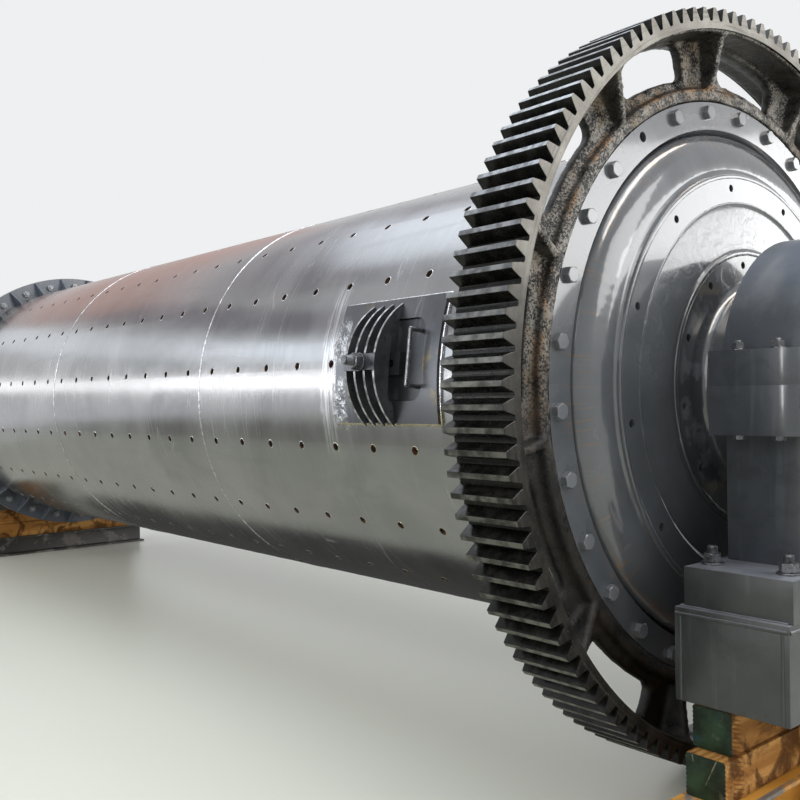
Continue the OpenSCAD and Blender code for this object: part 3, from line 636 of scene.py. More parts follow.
def wood():
    """Sawn softwood: growth rings drawn out along the timber, dark stains and knots, and painted shade in the
    saw marks near the front end.
    """
    m = Paint("sawn_timber", (0.42, 0.2, 0.08), roughness=0.7, specular=0.12)
    wave = {"Vector": m.scaled((14, 1.2, 14)), "Scale": 0.9, "Distortion": 7.0, "Detail": 4,
            "Detail Scale": 1.3}
    rings = m.node("ShaderNodeTexWave", wave, output=1, wave_type="RINGS", rings_direction="Y")
    grain = m.noise(60, m.scaled((14, 0.7, 14)), detail=5)
    tone = m.mix(rings, (0.34, 0.15, 0.036), (0.6, 0.32, 0.1))
    tone = m.mix(m.range(grain, 0.35, 0.7, 0, 0.6), tone, (0.23, 0.09, 0.022))
    stain = m.patches(6.5, 0.46, 0.62, 0, 0.9, detail=6, rough=0.62, warp=1.4)
    tone = m.mix(stain, tone, (0.07, 0.026, 0.007))
    knot = m.cells(4.4, m.scaled((1, 0.7, 1)))
    tone = m.mix(m.range(knot, 0.05, 0.12, 0.8, 0), tone, (0.05, 0.022, 0.01))
    # Painted shade: the saw-mark grooves near the front end are darkened in step with the grooves cut into the
    # planks.
    slant = m.math("MULTIPLY_ADD", m.y, SAW_SLANT, m.split(m.place)[2])
    groove_shade = m.range(m.math("SINE", m.times(slant, SAW_PITCH)), 0.0, 1.0, 0, 0.75)
    groove_shade = m.times(groove_shade, m.range(m.y, -0.66, -0.63, 1, 0), m.range(m.y, -0.7, -0.698))
    m.color(m.mix(groove_shade, tone, (0.12, 0.04, 0.009)))
    m.bump(m.streaks((8, 120, 60), detail=3), 0.002, 0.45)
    m.bump(grain, 0.001, 0.5)
    m.rough(m.patches(6, 0.3, 0.7, 0.55, 0.78))
    return m.material


def end_paint():
    """Old green paint on end grain, with blue smears, rubbed places and fine cracks."""
    m = Paint("green_end_paint", (0.02, 0.045, 0.022), roughness=0.5, specular=0.2)
    tone = m.mix(m.patches(14, 0.35, 0.7, detail=6), (0.006, 0.012, 0.006), (0.02, 0.045, 0.02))
    tone = m.mix(m.patches(9, 0.6, 0.72, 0, 0.75, warp=1.2), tone, (0.004, 0.05, 0.075))
    tone = m.mix(m.patches(19, 0.6, 0.72, 0, 0.6, detail=5), tone, (0.09, 0.1, 0.065))
    crack = m.cells(6.5, m.scaled((1.0, 1.0, 0.35)), feature="DISTANCE_TO_EDGE")
    crack = m.times(m.range(crack, 0.0, 0.012, 1, 0), m.patches(11, 0.5, 0.6))
    m.color(m.mix(m.times(crack, 0.7), tone, (0.34, 0.3, 0.2)))
    m.bump(m.noise(60, detail=5), 0.001, 0.5)
    return m.material


def beam_paint(name, low, high):
    """Thick paint on a rolled beam, rubbed through to grey steel along its edges and in patches."""
    m = Paint(name, high, roughness=0.46)
    edge = m.times(m.band(m.x, 3.717, 3.765, 0.004), m.patches(9, 0.3, 0.45, detail=5))
    wear = m.math("MAXIMUM", m.patches(5, 0.53, 0.6, detail=8, rough=0.65), edge)
    bare = m.mix(m.noise(18), (0.09, 0.075, 0.06), (0.24, 0.22, 0.2))
    m.color(m.mix(wear, m.mix(m.patches(3, 0.3, 0.7, detail=5), low, high), bare))
    m.rough(m.blend(wear, 0.42, 0.62))
    m.bump(wear, 0.0006, 0.5)
    m.bump(m.noise(30), 0.0006, 0.5)
    return m.material


def bolt_steel(name, color, rough, metallic=0.9):
    """Bare metal of fasteners and small turned parts, darker in patches."""
    m = Paint(name, color, metallic=metallic, roughness=rough)
    m.color(m.mix(m.patches(60, 0.4, 0.65, detail=5), shade(color, 0.6), color))
    m.rough(m.patches(90, 0.3, 0.7, rough - 0.1, rough + 0.15, detail=3))
    m.bump(m.noise(300, detail=3), 0.0002, 0.5)
    return m.material


steel = shell_plate()
pad_steel = pad_plate()
door_steel = rolled_steel("manhole_door_steel", (0.055, 0.058, 0.064), (0.115, 0.12, 0.13),
                          0.26, 0.4)[0].material
yoke = yoke_steel()
bead = weld_steel()
flange_paint = gloss_paint("feed_end_paint", (0.075, 0.086, 0.105), rough=0.36)[0].material
grey_paint = head_paint("head_paint", (0.095, 0.1, 0.108))
trunnion_paint = head_paint("trunnion_paint", (0.07, 0.074, 0.08), rubbed_neck=True)
# On the bearing the bluish colour of the upward faces is mostly a painted sky reflection; on the base it is
# partly dust and partly painted top light.
bearing_paint = dusty_paint("bearing_paint", (0.046, 0.051, 0.059), rough=0.3, coat=0.8, strokes=(50, 50, 4),
                            dust=(0.16, 0.19, 0.24))
base_paint = dusty_paint("base_paint", (0.039, 0.043, 0.042), rough=0.4, coat=0.4, strokes=(40, 40, 3),
                         dust=(0.24, 0.245, 0.27))
gear_machined = gear_machined_iron()
gear_rough = gear_cast_iron()
painted_bolt = gloss_paint("bolt_paint", (0.15, 0.155, 0.165), rough=0.26, lumps=0.0004, coat=1.0)[0].material
timber = wood()
timber_end = end_paint()
orange = beam_paint("worn_orange_paint", (0.5, 0.21, 0.03), (0.8, 0.4, 0.07))
# Painted shadow: the feed-end beams are near black to stand for the shade under the far end of the mill.
painted_shadow_beam = beam_paint("dark_beam_paint", (0.02, 0.018, 0.016), (0.045, 0.04, 0.034))
bronze = bolt_steel("bush_bronze", (0.55, 0.42, 0.2), rough=0.3)
dark_nut = bolt_steel("anchor_nut", (0.17, 0.175, 0.185), rough=0.32, metallic=0.7)
rod_steel = bolt_steel("handle_rod", (0.24, 0.245, 0.255), rough=0.3)

node_finish = {
    "shell_course_middle": steel, "girth_gear": gear_rough,
    "manhole_pad": pad_steel, "manhole_door": door_steel, "manhole_yoke": yoke,
    "manhole_clamp_bolt": dark_nut, "manhole_handle": rod_steel,
    "floor_beam_feed": painted_shadow_beam, "floor_beam_discharge": orange,
}
finish_at_both_ends = {
    "shell_course": steel, "girth_weld": bead, "shell_flange": flange_paint, "head": grey_paint,
    "trunnion": trunnion_paint, "bearing_housing": bearing_paint, "bearing_cap": bearing_paint,
    "bearing_bush": bronze, "base_block": base_paint, "sub_base": base_paint,
    "timber_upper": timber, "timber_lower": timber,
}
for part, finish in finish_at_both_ends.items():
    for end in ENDS:
        node_finish[f"{part}_{end}"] = finish
for name, finish in node_finish.items():
    data = nodes[name].data
    if not data.materials:
        data.materials.append(finish)
    for i in range(len(data.materials)):
        data.materials[i] = finish


# Girth gear

def half_tooth(radius):
    """Half of the angle that an involute tooth spans at a radius, in degrees."""
    pressure = math.radians(PRESSURE_ANGLE)
    at_radius = math.acos(min(1, PITCH_R * math.cos(pressure) / radius))
    narrowing = math.tan(pressure) - pressure - (math.tan(at_radius) - at_radius)
    return 90 / TEETH + math.degrees(narrowing)


def tooth_outline(inset):
    """Radius and local angle of each point of the teeth, moved inwards by an inset."""
    tip_round = 0.0012
    flank = [ROOT_R + 0.0008, ROOT_R + 0.003, 1.285, 1.292, 1.299, 1.306, 1.313, TIP_R - tip_round]
    tip_half = half_tooth(TIP_R) - math.degrees((inset + tip_round) / TIP_R)
    halves = [(r, half_tooth(r) - math.degrees(inset / r)) for r in flank]
    halves.append((TIP_R - inset, tip_half))
    points = []
    for i in range(TEETH):
        middle = TOOTH_PHASE + i * 360 / TEETH
        points.append((ROOT_R - inset, middle - 180 / TEETH))
        points += [(r, middle - half) for r, half in halves]
        points += [(r, middle + half) for r, half in reversed(halves)]
    return points


def gear_rim():
    """Machined rim with its cut teeth, chamfered at both ends of the face."""
    chamfer = 0.0016
    stations = ((RIM_BACK, chamfer, True), (RIM_BACK, chamfer, False), (RIM_BACK + chamfer, 0, False),
                (RIM_FRONT - chamfer, 0, False), (RIM_FRONT, chamfer, False), (RIM_FRONT, chamfer, True))
    rings = []
    for x, inset, inner in stations:
        outline = tooth_outline(inset)
        rings.append([around(x, RIM_IN_R if inner else radius, angle) for radius, angle in outline])
    rim = Shape()
    rim.rings(rings + rings[:1], caps=False)
    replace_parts(rim.piece("gear_rim", gear_machined, "drum", "gear_iron", crease=28, weld=True), "girth_gear")


def window_outline(middle):
    """Sector with round corners between two ribs."""
    outline = []
    for radius, side, start in ((WINDOW_OUT_R, 1, 0), (WINDOW_IN_R, 1, 90),
                                (WINDOW_IN_R, -1, 180), (WINDOW_OUT_R, -1, 270)):
        inner = radius + WINDOW_CORNER * (1 if radius == WINDOW_IN_R else -1)
        angle = middle + side * (WINDOW_HALF - math.degrees(math.asin(WINDOW_CORNER / inner)))
        centre = around(0, inner, angle)
        outline += [centre + WINDOW_CORNER * outward(angle + start + 15 * k) for k in range(7)]
        if start in (90, 270):
            outline += [around(0, radius, angle + 2 * (middle - angle) * k / 8) for k in range(1, 8)]
    return outline


def web_plate(shape):
    """Flat web between collar and rim, pierced by the windows."""
    loops = [[around(0, radius, i) for i in range(360)] for radius in (WEB_OUT_R, WEB_IN_R)]
    loops += [window_outline(RIB_PHASE + (i + 0.5) * 360 / RIBS) for i in range(RIBS)]
    flat = [p for loop in loops for p in loop]
    count = len(flat)
    fill = tessellate_polygon(loops)
    faces = [list(t) for t in fill] + [[i + count for i in reversed(t)] for t in fill]
    start = 0
    for loop in loops:
        for i in range(len(loop)):
            a, b = start + i, start + (i + 1) % len(loop)
            faces.append([a, b, b + count, a + count])
        start += len(loop)
    shape.add([Vector((x, p.y, p.z)) for x in (WEB_FRONT, WEB_BACK) for p in flat], faces)


def remeshed(piece, voxel, smoothing):
    """Applies a voxel remesh, which joins what overlaps, and smooths its edges into fillets."""
    remesh = piece.modifiers.new("remesh", "REMESH")
    remesh.mode = "VOXEL"
    remesh.voxel_size = voxel
    relax = piece.modifiers.new("relax", "SMOOTH")
    relax.factor = 0.5
    relax.iterations = smoothing
    evaluated = piece.evaluated_get(bpy.context.evaluated_depsgraph_get())
    mesh = bpy.data.meshes.new_from_object(evaluated)
    piece.modifiers.clear()
    piece.data = mesh
    for polygon in mesh.polygons:
        polygon.use_smooth = True
    return mesh


def roughened(mesh, amount, scale):
    """Moves each point along its normal by two layers of noise."""
    normals = [normal.vector.copy() for normal in mesh.vertex_normals]
    for vertex, normal in zip(mesh.vertices, normals):
        lump = noise.noise(vertex.co * scale) + 0.6 * noise.noise(vertex.co * scale * 2.7)
        vertex.co += normal * lump * amount


def gear_casting():
    """Collar, web, ribs and the skin inside the rim, as one rough casting."""
    cast = Shape()
    web_plate(cast)
    edge = 0.008
    overlap = 0.01
    cast.ring_solid([(COLLAR_BACK, COLLAR_IN_R), (COLLAR_BACK, COLLAR_R), (COLLAR_FRONT - edge, COLLAR_R),
                     (COLLAR_FRONT, COLLAR_R - edge), (COLLAR_FRONT, COLLAR_IN_R)])
    back, front = RIM_BACK + overlap / 2, RIM_FRONT - overlap / 2
    cast.ring_solid([(back, CAST_RIM_R), (back, CAST_RIM_OUT_R),
                     (front, CAST_RIM_OUT_R), (front, CAST_RIM_R)])
    ribs = ((WEB_BACK + overlap, COLLAR_FRONT - 0.003, RIM_FRONT - RIB_SETBACK),
            (WEB_FRONT - overlap, COLLAR_BACK + 0.006, RIM_BACK + RIB_SETBACK))
    for i in range(RIBS):
        for root, foot, top in ribs:
            cast.radial_plate([(root, RIB_FOOT_R), (foot, RIB_FOOT_R), (top, RIB_TOP_R), (root, RIB_TOP_R)],
                              RIB_PHASE + i * 360 / RIBS, RIB_T)
    piece = cast.piece("gear_casting", gear_rough, "drum", "gear_iron")
    mesh = remeshed(piece, voxel=0.0098, smoothing=5)
    roughened(mesh, amount=0.0016, scale=26)
    mesh.materials.clear()
    mesh.materials.append(gear_rough)
    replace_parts(piece, "girth_gear")


gear_rim()
gear_casting()


# Solids with rounded edges

def softened(node, width):
    """Copy of a solid whose sharp edges are rounded, which stands for it."""
    solid = nodes[node]
    shape = bmesh.new()
    shape.from_mesh(solid.data)
    bmesh.ops.remove_doubles(shape, verts=shape.verts, dist=1e-5)
    bmesh.ops.dissolve_limit(shape, angle_limit=math.radians(0.5), verts=shape.verts, edges=shape.edges)
    sharp = [e for e in shape.edges if len(e.link_faces) == 2 and e.calc_face_angle() > math.radians(40)]
    bmesh.ops.bevel(shape, geom=sharp, offset=width, segments=3, profile=0.5, affect="EDGES",
                    clamp_overlap=True)
    verts = [v.co.copy() for v in shape.verts]
    faces = [[v.index for v in f.verts] for f in shape.faces]
    shape.free()
    piece = add_piece(f"{node}_soft", verts, faces, solid.data.materials[0], "base", crease=34)
    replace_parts(piece, node)


for end in ENDS:
    softened(f"bearing_housing_{end}", 0.004)
    softened(f"bearing_cap_{end}", 0.004)
    softened(f"base_block_{end}", 0.006)
    softened(f"sub_base_{end}", 0.0025)
    softened(f"floor_beam_{end}", 0.004)


# Welds and hole edges of the shell

def girth_seam(end):
    """Weld bead all round the shell."""
    steps = 2000
    angles = [360 * i / steps for i in range(steps)]
    seam = Shape()
    seam.bead([around(SEAM_X[end], SHELL_R - 0.0006, a) for a in angles], [outward(a) for a in angles],
              width=0.0052, ripple=0.0085)
    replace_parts(seam.piece(f"girth_seam_{end}", bead, "drum", "weld_steel", crease=60), f"girth_weld_{end}")


def pad_weld():
    """Fillet weld that runs round the pad of the manhole on the shell."""
    half_angle = math.degrees(math.asin(PAD_HALF_WIDTH / SHELL_R))
    corners = [(MANHOLE_X + sx * PAD_HALF_LENGTH, FIRST_ROW + sa * half_angle)
               for sx, sa in ((-1, 1), (1, 1), (1, -1), (-1, -1))]
    places, normals = [], []
    for (x0, a0), (x1, a1) in zip(corners, corners[1:] + corners[:1]):
        length = abs(x1 - x0) + math.radians(abs(a1 - a0)) * SHELL_R
        steps = int(length / 0.0035)
        for i in range(steps):
            t = i / steps
            angle = a0 + (a1 - a0) * t
            places.append(around(x0 + (x1 - x0) * t, SHELL_R + 0.001, angle))
            normals.append(outward(angle))
    weld = Shape()
    weld.bead(places, normals, width=0.0085, ripple=0.011)
    weld.piece("manhole_pad_weld", bead, "drum", "weld_steel", crease=60)


def hole_edges():
    """Thin burr round each liner hole of the shell."""
    sunk = -0.0012
    burrs = Shape()
    for column in range(HOLE_COLUMNS):
        x = SEAM_X["feed"] + (column + FIRST_HOLE) * HOLE_PITCH
        for row in range(ROWS):
            if row == 0 and abs(x - MANHOLE_X) < PAD_HALF_LENGTH + HOLE_R:
                continue
            degrees = FIRST_ROW + row * 360 / ROWS
            seat = along(around(x, SHELL_R, degrees), outward(degrees))
            high = random.uniform(0.0004, 0.0009)
            burrs.turned([(HOLE_R - 0.0002, sunk), (HOLE_R - 0.0002, high), (HOLE_R + 0.0016, high * 0.8),
                          (HOLE_R + random.uniform(0.0026, 0.0042), sunk)], seat, count=20, closed=True)
    burrs.piece("liner_hole_edges", bead, "drum", "shell_steel", crease=50)


for end in ENDS:
    girth_seam(end)
pad_weld()
hole_edges()


# Worked edges of the heads

def head_seat(side):
    """Distance from the mill's middle to the back of a head's rim."""
    return SHELL_END + (WEB_T if side > 0 else 0)


def uneven_strip(shape, side, profile, sway):
    """Revolved strip of [radius, height] points in millimetres, uneven as if finished by hand."""
    steps = 720
    last = len(profile) - 1
    rings = []
    for k, (radius, height) in enumerate(profile):
        before, after = profile[max(0, k - 1)], profile[min(last, k + 1)]
        normal = Vector((after[1] - before[1], before[0] - after[0])).normalized()
        x, r = head_seat(side) + height / 1000, radius / 1000
        ring = []
        for i in range(steps):
            degrees = 360 * i / steps
            place = around(side * x, r, degrees)
            lump = sway * (noise.noise(place * 38) + 0.5 * noise.noise(place * 95)) if 0 < k < last else 0.0
            ring.append(around(side * (x + normal.y * lump), r + normal.x * lump, degrees))
        rings.append(ring)
    shape.rings(rings + rings[:1], caps=False)


SHOULDER_FOOT = [(766.8, 92.5), (766.6, 98.5), (765.9, 103), (763.5, 105.6), (760, 106.4), (755, 106.2),
                 (750, 105.3), (747.5, 104.4)]
RING_LIP = [(668, 104.4), (665, 105.5), (661.5, 105.8), (658.6, 103.5), (655.8, 99), (652.5, 97.8),
            (649, 97.2)]
TRUNNION_LIP = [(503, 111), (494, 113.6), (491.8, 114.4), (491.6, 116.4), (490.5, 118.4), (487.5, 119.4),
                (482, 119.4), (476, 118.8), (472, 117.4)]


def head_edges(end, side):
    """Round shoulder, lips of the liner bolt ring and lip of the trunnion flange."""
    arc = [math.radians(degrees) for degrees in range(0, 91, 5)]
    shoulder = [(768 + 150 * math.cos(a) ** 0.9, 18 + 73 * math.sin(a) ** 0.9) for a in arc]
    skin = Shape()
    uneven_strip(skin, side, shoulder + SHOULDER_FOOT, sway=0.0003)
    uneven_strip(skin, side, RING_LIP, sway=0.0007)
    skin.piece(f"head_shoulder_{end}", grey_paint, "drum", "head_paint", crease=60)
    lip = Shape()
    uneven_strip(lip, side, TRUNNION_LIP, sway=0.0007)
    lip.piece(f"trunnion_lip_{end}", trunnion_paint, "drum", "trunnion_steel", crease=60)


def clamp_bolt():
    """Threaded stud of the yoke with its washer and nut."""
    bolt = Shape()
    lift = outward(YOKE_ANGLE)
    foot = along(around(YOKE_X, 0.955, YOKE_ANGLE), lift)
    bolt.stud(radius=0.018, length=0.165, matrix=foot, pitch=0.0045)
    bolt.nut(CLAMP_NUT, along(around(YOKE_X, YOKE_CROWN_R + 0.0002, YOKE_ANGLE), lift))
    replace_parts(bolt.piece("clamp_bolt", dark_nut, "drum", "weld_steel", crease=24), "manhole_clamp_bolt")


for end, side in ENDS.items():
    head_edges(end, side)
clamp_bolt()


# Bolts

def flange_bolts(end, side):
    """Bolt heads on the rim of the head, with nuts and thread ends behind the shell's flange."""
    out = Vector((side, 0, 0))
    bolts = Shape()
    nuts = Shape()
    for i in range(FLANGE_BOLTS):
        degrees = BOLT_PHASE[end] + i * 360 / FLANGE_BOLTS
        if side > 0 and degrees == EMPTY_HOLE_ANGLE:
            continue
        turn = random.uniform(0, math.pi / 3)
        front = around(side * (head_seat(side) + RIM_T), FLANGE_BOLT_R, degrees)
        bolts.hexagon(flat=0.046, height=0.0195, matrix=along(front, out, turn))
        back = along(around(side * (SHELL_END - FLANGE_T), FLANGE_BOLT_R, degrees), -out, turn)
        nuts.nut(FLANGE_NUT, back)
        nuts.stud(radius=0.0148, length=0.042, matrix=back)
    bolts.piece(f"flange_bolts_{end}", painted_bolt, "drum", "head_paint", crease=24)
    nuts.piece(f"flange_nuts_{end}", painted_bolt, "drum", "feed_end_paint", crease=24)


def bearing_bolts(end, side):
    """Bolts through the lugs of housing and cap, and studs that hold the housing on its base."""
    lift = Vector((0, 0, 1))
    lugs = Shape()
    studs = Shape()
    for sx in (-1, 1):
        for sy in (-1, 1):
            x, y = side * (BEARING_X + sx * LUG_BOLT_X), sy * LUG_BOLT_Y
            top = along(Vector((x, y, LUG_TOP_Z)), lift, random.uniform(0, 1))
            lugs.nut(LUG_NUT, top)
            lugs.stud(radius=0.0118, length=0.03, matrix=top)
            lugs.hexagon(flat=0.036, height=0.014, matrix=along(Vector((x, y, LUG_LOW_Z)), -lift))
            x, y = side * (BEARING_X - SUB_BASE_SHIFT + sx * STUD_X), sy * STUD_Y
            seat = along(Vector((x, y, BASE_TOP_Z)), lift, random.uniform(0, 1))
            studs.nut(BASE_NUT, seat)
            studs.stud(radius=0.0165, length=0.055, matrix=seat)
    lugs.piece(f"lug_bolts_{end}", dark_nut, "base", "bearing_paint", crease=24)
    studs.piece(f"base_studs_{end}", dark_nut, "base", "bearing_paint", crease=24)


for make in (flange_bolts, bearing_bolts):
    for end, side in ENDS.items():
        make(end, side)


# Welds of the sub-bases

def straight(start, end, normal, step=0.0035):
    """Evenly spaced points from one place to another, with the side that they face."""
    count = max(2, int((end - start).length / step))
    return [start.lerp(end, i / count) for i in range(count + 1)], [normal] * (count + 1)


def base_welds(end, side):
    """Welds round the foot of the base block, under the top plate of the sub-base and down its corners."""
    middle = Vector((side * (BEARING_X - SUB_BASE_SHIFT), 0, 0))
    half_x, half_y = SUB_BASE_HALF
    block_x, block_y = BASE_HALF
    gap = 0.004
    width = 0.006
    top_z = SUB_BASE_TOP_Z
    seam_z = top_z - SUB_BASE_PLATE - gap
    low_z = TIMBER_TOP_Z + gap
    runs = []
    for s in (-1, 1):
        y = s * half_y
        runs.append(((gap - half_x, y, seam_z), (half_x - gap, y, seam_z), (0, s, 0), width))
        for sx in (-1, 1):
            x = sx * (half_x - SUB_BASE_PLATE - gap)
            runs.append(((x, y, low_z), (x, y, seam_z - width), (0, s, 0), 0.0055))
        x = s * half_x
        runs.append(((x, width - half_y, seam_z), (x, half_y - width, seam_z), (s, 0, 0), width))
        runs.append(((s * block_x, -block_y, top_z), (s * block_x, block_y, top_z), (s, 0, 1), width))
        runs.append(((-block_x, s * block_y, top_z), (block_x, s * block_y, top_z), (0, s, 1), width))
    welds = Shape()
    for first, last, normal, reach in runs:
        path, normals = straight(middle + Vector(first), middle + Vector(last), Vector(normal).normalized())
        welds.bead(path, normals, reach, closed=False, ripple=0.011)
    welds.piece(f"base_welds_{end}", base_paint, "base", "bearing_paint", crease=60)


for end, side in ENDS.items():
    base_welds(end, side)


# Timbers

def plank_section(y, x0, z0, front):
    """Outline of a sawn timber at one place along it, inside its rectangle, with worn edges and saw marks."""
    points = []
    corners = ((0, 0), (1, 0), (1, 1), (0, 1))
    for side in range(4):
        upright = side in (1, 3)
        u0, v0 = corners[side]
        u1, v1 = corners[(side + 1) % 4]
        per_side = 44 if upright else 12
        marks = max(0.0, 1 - (y + front) / 0.055) if upright else 0.0
        for k in range(per_side):
            t = k / per_side
            u, v = u0 + (u1 - u0) * t, v0 + (v1 - v0) * t
            place = Vector((x0 + u * TIMBER_W, y, z0 + v * TIMBER_H))
            sink = 0.0007 * (1 + noise.noise(place * 9)) + 0.0004 * (1 + noise.noise(place * 60))
            wave = 0.5 + 0.5 * math.sin(SAW_PITCH * (place.z + SAW_SLANT * y))
            sink += 0.0026 * min(1.0, 1.6 * marks) * wave
            if k == 0:
                sink += 0.0026 * (1.2 + noise.noise(Vector((side * 5.0, y * 14, 0))))
            if upright or k == 0:
                place.x += sink if u < 0.5 else -sink
            if not upright or k == 0:
                place.z += sink if v < 0.5 else -sink
            points.append(place)
    return points


def plank(shape, x0, z0, front):
    """Closed timber from its front end to its back end; returns the faces of the painted front end."""
    stations = [0.0004 - front] + [0.004 - front + 0.0035 * i for i in range(16)]
    at = stations[-1]
    while at < TIMBER_BACK - 0.02:
        stations.append(at)
        at += 0.018
    stations += [TIMBER_BACK - 0.004, TIMBER_BACK - 0.0004]
    rings = [plank_section(y, x0, z0, front) for y in stations[:1] + stations + stations[-1:]]
    middle_x, middle_z = x0 + TIMBER_W / 2, z0 + TIMBER_H / 2
    for k, shrink, out in ((0, 0.035, -0.0003), (1, 0.02, 0), (-2, 0.02, 0), (-1, 0.035, 0.0003)):
        for p in rings[k]:
            p.x += (middle_x - p.x) * shrink
            p.y += out
            p.z += (middle_z - p.z) * shrink
    first = len(shape.faces)
    shape.rings(rings)
    per_ring = len(rings[0])
    return list(range(first, first + 2 * per_ring)) + [first + per_ring * (len(rings) - 1)]


def timbers(level, end, z0, front, inner_x):
    """Pair of timbers side by side, with paint on their front ends."""
    side = ENDS[end]
    stack = Shape()
    painted = []
    for offset, reach in ((inner_x, front), (TIMBER_OUTER_X, OUTER_FRONT)):
        x = side * (BEARING_X + offset)
        painted += plank(stack, x if side > 0 else x - TIMBER_W, z0, reach)
    piece = stack.piece(f"planks_{level}_{end}", timber, "base", "timber", crease=40)
    piece.data.materials.append(timber_end)
    for i in painted:
        piece.data.polygons[i].material_index = 1
    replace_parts(piece, f"timber_{level}_{end}")


for end in ENDS:
    timbers("upper", end, TIMBER_TOP_Z - TIMBER_H, front=0.693, inner_x=-0.141)
    timbers("lower", end, TIMBER_TOP_Z - 2 * TIMBER_H, front=0.745, inner_x=-0.132)


# Floor, lights and camera

def seen_directly(tree):
    """1 for the rays that see the background itself."""
    rays = add_node(tree, "ShaderNodeLightPath").outputs
    seen = rays["Is Camera Ray"]
    for kind in ("Is Glossy Ray", "Is Transmission Ray"):
        seen = add_node(tree, "ShaderNodeMath", {0: seen, 1: rays[kind]}, operation="MAXIMUM").outputs[0]
    return seen


def glow(tree, kind, color, strength=1.0):
    """Shader that shines by itself."""
    return add_node(tree, kind, {0: color, 1: strength}).outputs[0]


def mixed(tree, factor, first, second):
    """Mix of two shaders."""
    return add_node(tree, "ShaderNodeMixShader", {0: factor, 1: first, 2: second}).outputs[0]


def rectangle(name, width, depth, material):
    """Flat panel of the studio, with its front side up."""
    x, y = width / 2, depth / 2
    mesh = bpy.data.meshes.new(name)
    mesh.from_pydata([(-x, -y, 0), (x, -y, 0), (x, y, 0), (-x, y, 0)], [], [(0, 1, 2, 3)])
    mesh.materials.append(material)
    panel = bpy.data.objects.new(name, mesh)
    bpy.context.scene.collection.objects.link(panel)
    return panel


def turned_to(place, target, axis):
    """Rotation that points an axis of an object at a target."""
    return (Vector(target) - Vector(place)).to_track_quat(axis, "Y").to_euler()


BACKGROUND = (0.86, 0.87, 0.88)
world = bpy.data.worlds.new("studio")
bpy.context.scene.world = world
world.use_nodes = True
tree = world.node_tree
tree.nodes.clear()
soft = glow(tree, "ShaderNodeBackground", (0.9, 0.94, 1.0), 0.58)
plain = glow(tree, "ShaderNodeBackground", BACKGROUND)
add_node(tree, "ShaderNodeOutputWorld", {0: mixed(tree, seen_directly(tree), soft, plain)})

floor = Paint("studio_floor", (0.7, 0.7, 0.61), roughness=0.3)
tree = floor.tree
distance = floor.node("ShaderNodeVectorMath", {0: floor.place}, output="Value", operation="LENGTH")
fade = floor.times(floor.range(distance, 7, 20), seen_directly(tree))
far_floor = glow(tree, "ShaderNodeEmission", BACKGROUND)
connect(tree, mixed(tree, fade, floor.shader.outputs[0], far_floor), tree.nodes["Material Output"].inputs[0])
rectangle("floor", 120, 120, floor.material)


def softbox(name, place, target, width, height, power, color=(1, 1, 1), reflected=True, lights=True):
    """Lamp with a soft edge, which can be left out of the reflections or light nothing else."""
    light = bpy.data.lights.new(name, "AREA")
    light.shape = "RECTANGLE"
    light.size = width
    light.size_y = height
    light.energy = power
    light.color = color
    lamp = bpy.data.objects.new(name, light)
    lamp.location = place
    lamp.rotation_euler = turned_to(place, target, "-Z")
    lamp.visible_camera = False
    lamp.visible_glossy = reflected
    lamp.visible_diffuse = lights
    bpy.context.scene.collection.objects.link(lamp)


def card(name, place, target, width, height, color):
    """Panel that shows only as a reflection from its front: a dark flag or a tinted wall of the studio."""
    material = bpy.data.materials.new(name)
    material.use_nodes = True
    tree = material.node_tree
    tree.nodes.clear()
    back = add_node(tree, "ShaderNodeNewGeometry").outputs["Backfacing"]
    clear = add_node(tree, "ShaderNodeBsdfTransparent").outputs[0]
    shown = mixed(tree, back, glow(tree, "ShaderNodeEmission", color), clear)
    add_node(tree, "ShaderNodeOutputMaterial", {0: shown})
    panel = rectangle(name, width, height, material)
    panel.location = place
    panel.rotation_euler = turned_to(place, target, "Z")
    panel.visible_camera = False
    panel.visible_diffuse = False
    panel.visible_shadow = False


softbox("window_light", (8.5, 7.4, 3.5), (3.3, 0, 1.9), 7.5, 2.3, 250)
softbox("side_window", (11.4, 3.3, 5.6), (3.3, 0, 1.9), 5.5, 3.8, 290)
softbox("top_light", (3.1, -1.0, 6.2), (3.0, 0, 1.5), 7, 3, 200, (0.86, 0.93, 1.0))
softbox("roof_strip", (4.95, 0.65, 6.2), (3.25, -0.41, 2.1), 6.8, 1.0, 200, (1.0, 0.88, 0.76), lights=False)
softbox("edge_strip", (3.2, -7.5, 2.5), (3.3, -0.9, 1.5), 0.9, 2.4, 95, lights=False)
softbox("low_strip_near", (-7.03, -7.95, 2.25), (1.27, -3.05, 1.6), 6, 0.6, 74)
softbox("low_strip_far", (-9.82, -3.22, 2.1), (-1.52, 1.68, 1.6), 5, 0.6, 17)
softbox("high_strip_near", (-7.03, -7.95, 4.4), (1.27, -3.05, 1.6), 6, 1.2, 46, (0.84, 0.92, 1.0))
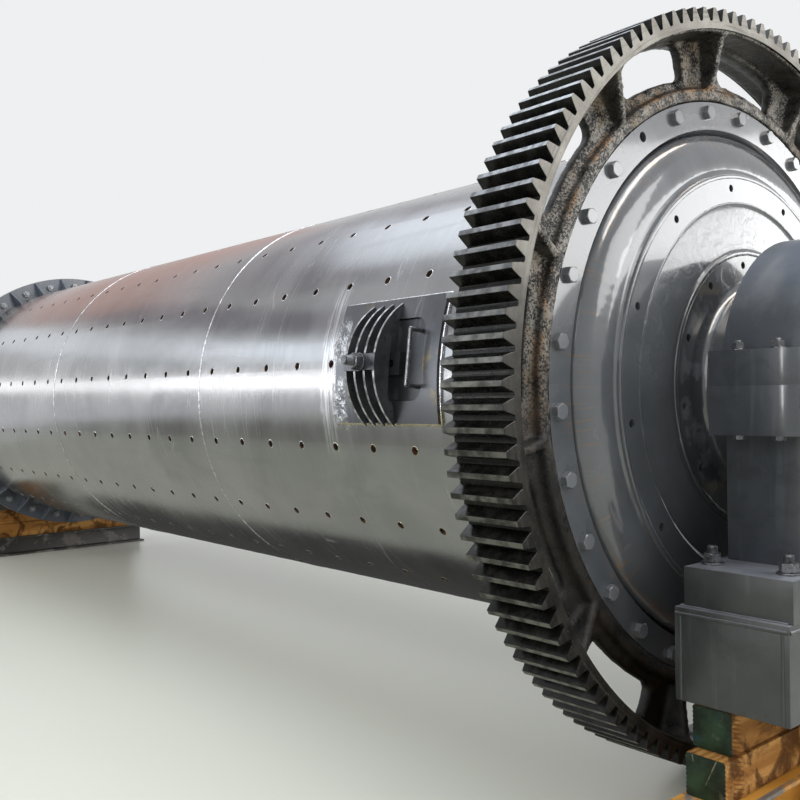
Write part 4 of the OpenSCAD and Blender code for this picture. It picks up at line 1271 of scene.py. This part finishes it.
softbox("high_strip_far", (-9.82, -3.22, 4.4), (-1.52, 1.68, 1.6), 5, 1.2, 11, (0.84, 0.92, 1.0))
softbox("sky_panel", (-2.6, -0.2, 6.2), (-2.0, -0.2, 1.5), 3.2, 2.3, 32, (0.84, 0.92, 1.0))
softbox("fill_light", (-1.5, -7.0, 5.2), (-0.3, -1.2, 0), 6, 3, 250, reflected=False)
softbox("front_light", (3.5, -7.5, 4.5), (1.5, 0, 1.4), 5, 3, 110)
card("roof_flag", (-7.6, 0.6, 8.6), (-0.8, -0.6, 2.0), 9, 3.0, (0.52, 0.5, 0.53))
card("high_flag", (-8.6, -6.0, 6.6), (0, -0.9, 1.6), 11, 1.6, (0.42, 0.4, 0.43))
card("low_flag", (-8.3, -5.8, 0.75), (0, -0.9, 1.3), 12, 1.2, (0.95, 0.97, 1.0))
card("warm_wall", (-9.0, 1.6, 5.6), (-1.0, -0.6, 2.0), 6.5, 2.4, (0.76, 0.53, 0.48))
card("floor_flag", (0, 0.2, 0.01), (0, 0.2, 5), 6.0, 1.7, (0.07, 0.07, 0.065))
card("floor_shade", (-1.5, -1.9, 0.008), (-1.5, -1.9, 5), 11, 2.4, (0.52, 0.53, 0.46))
card("floor_dark", (-2.5, -4.4, 0.008), (-2.5, -4.4, 5), 13, 2.6, (0.28, 0.28, 0.25))

# Camera, fitted to the rows of holes, with its frame as three directions
right = Vector((0.67902, 0.73401, -0.01281))
up = Vector((0.01183, 0.00651, 0.99991))
view = Vector((-0.73403, 0.67911, 0.00426))
camera_data = bpy.data.cameras.new("camera")
camera_data.sensor_width = 36
camera_data.lens = 41.97
camera_data.shift_x = -0.0792
camera_data.shift_y = -0.0070
camera_data.clip_end = 200
camera = bpy.data.objects.new("camera", camera_data)
turn = Matrix((right, up, -view)).transposed().to_4x4()
camera.matrix_world = Matrix.Translation((5.1254, -3.0614, AXIS_Z - 0.0267)) @ turn
bpy.context.scene.collection.objects.link(camera)
bpy.context.scene.camera = camera
bpy.context.scene.view_settings.view_transform = "Standard"
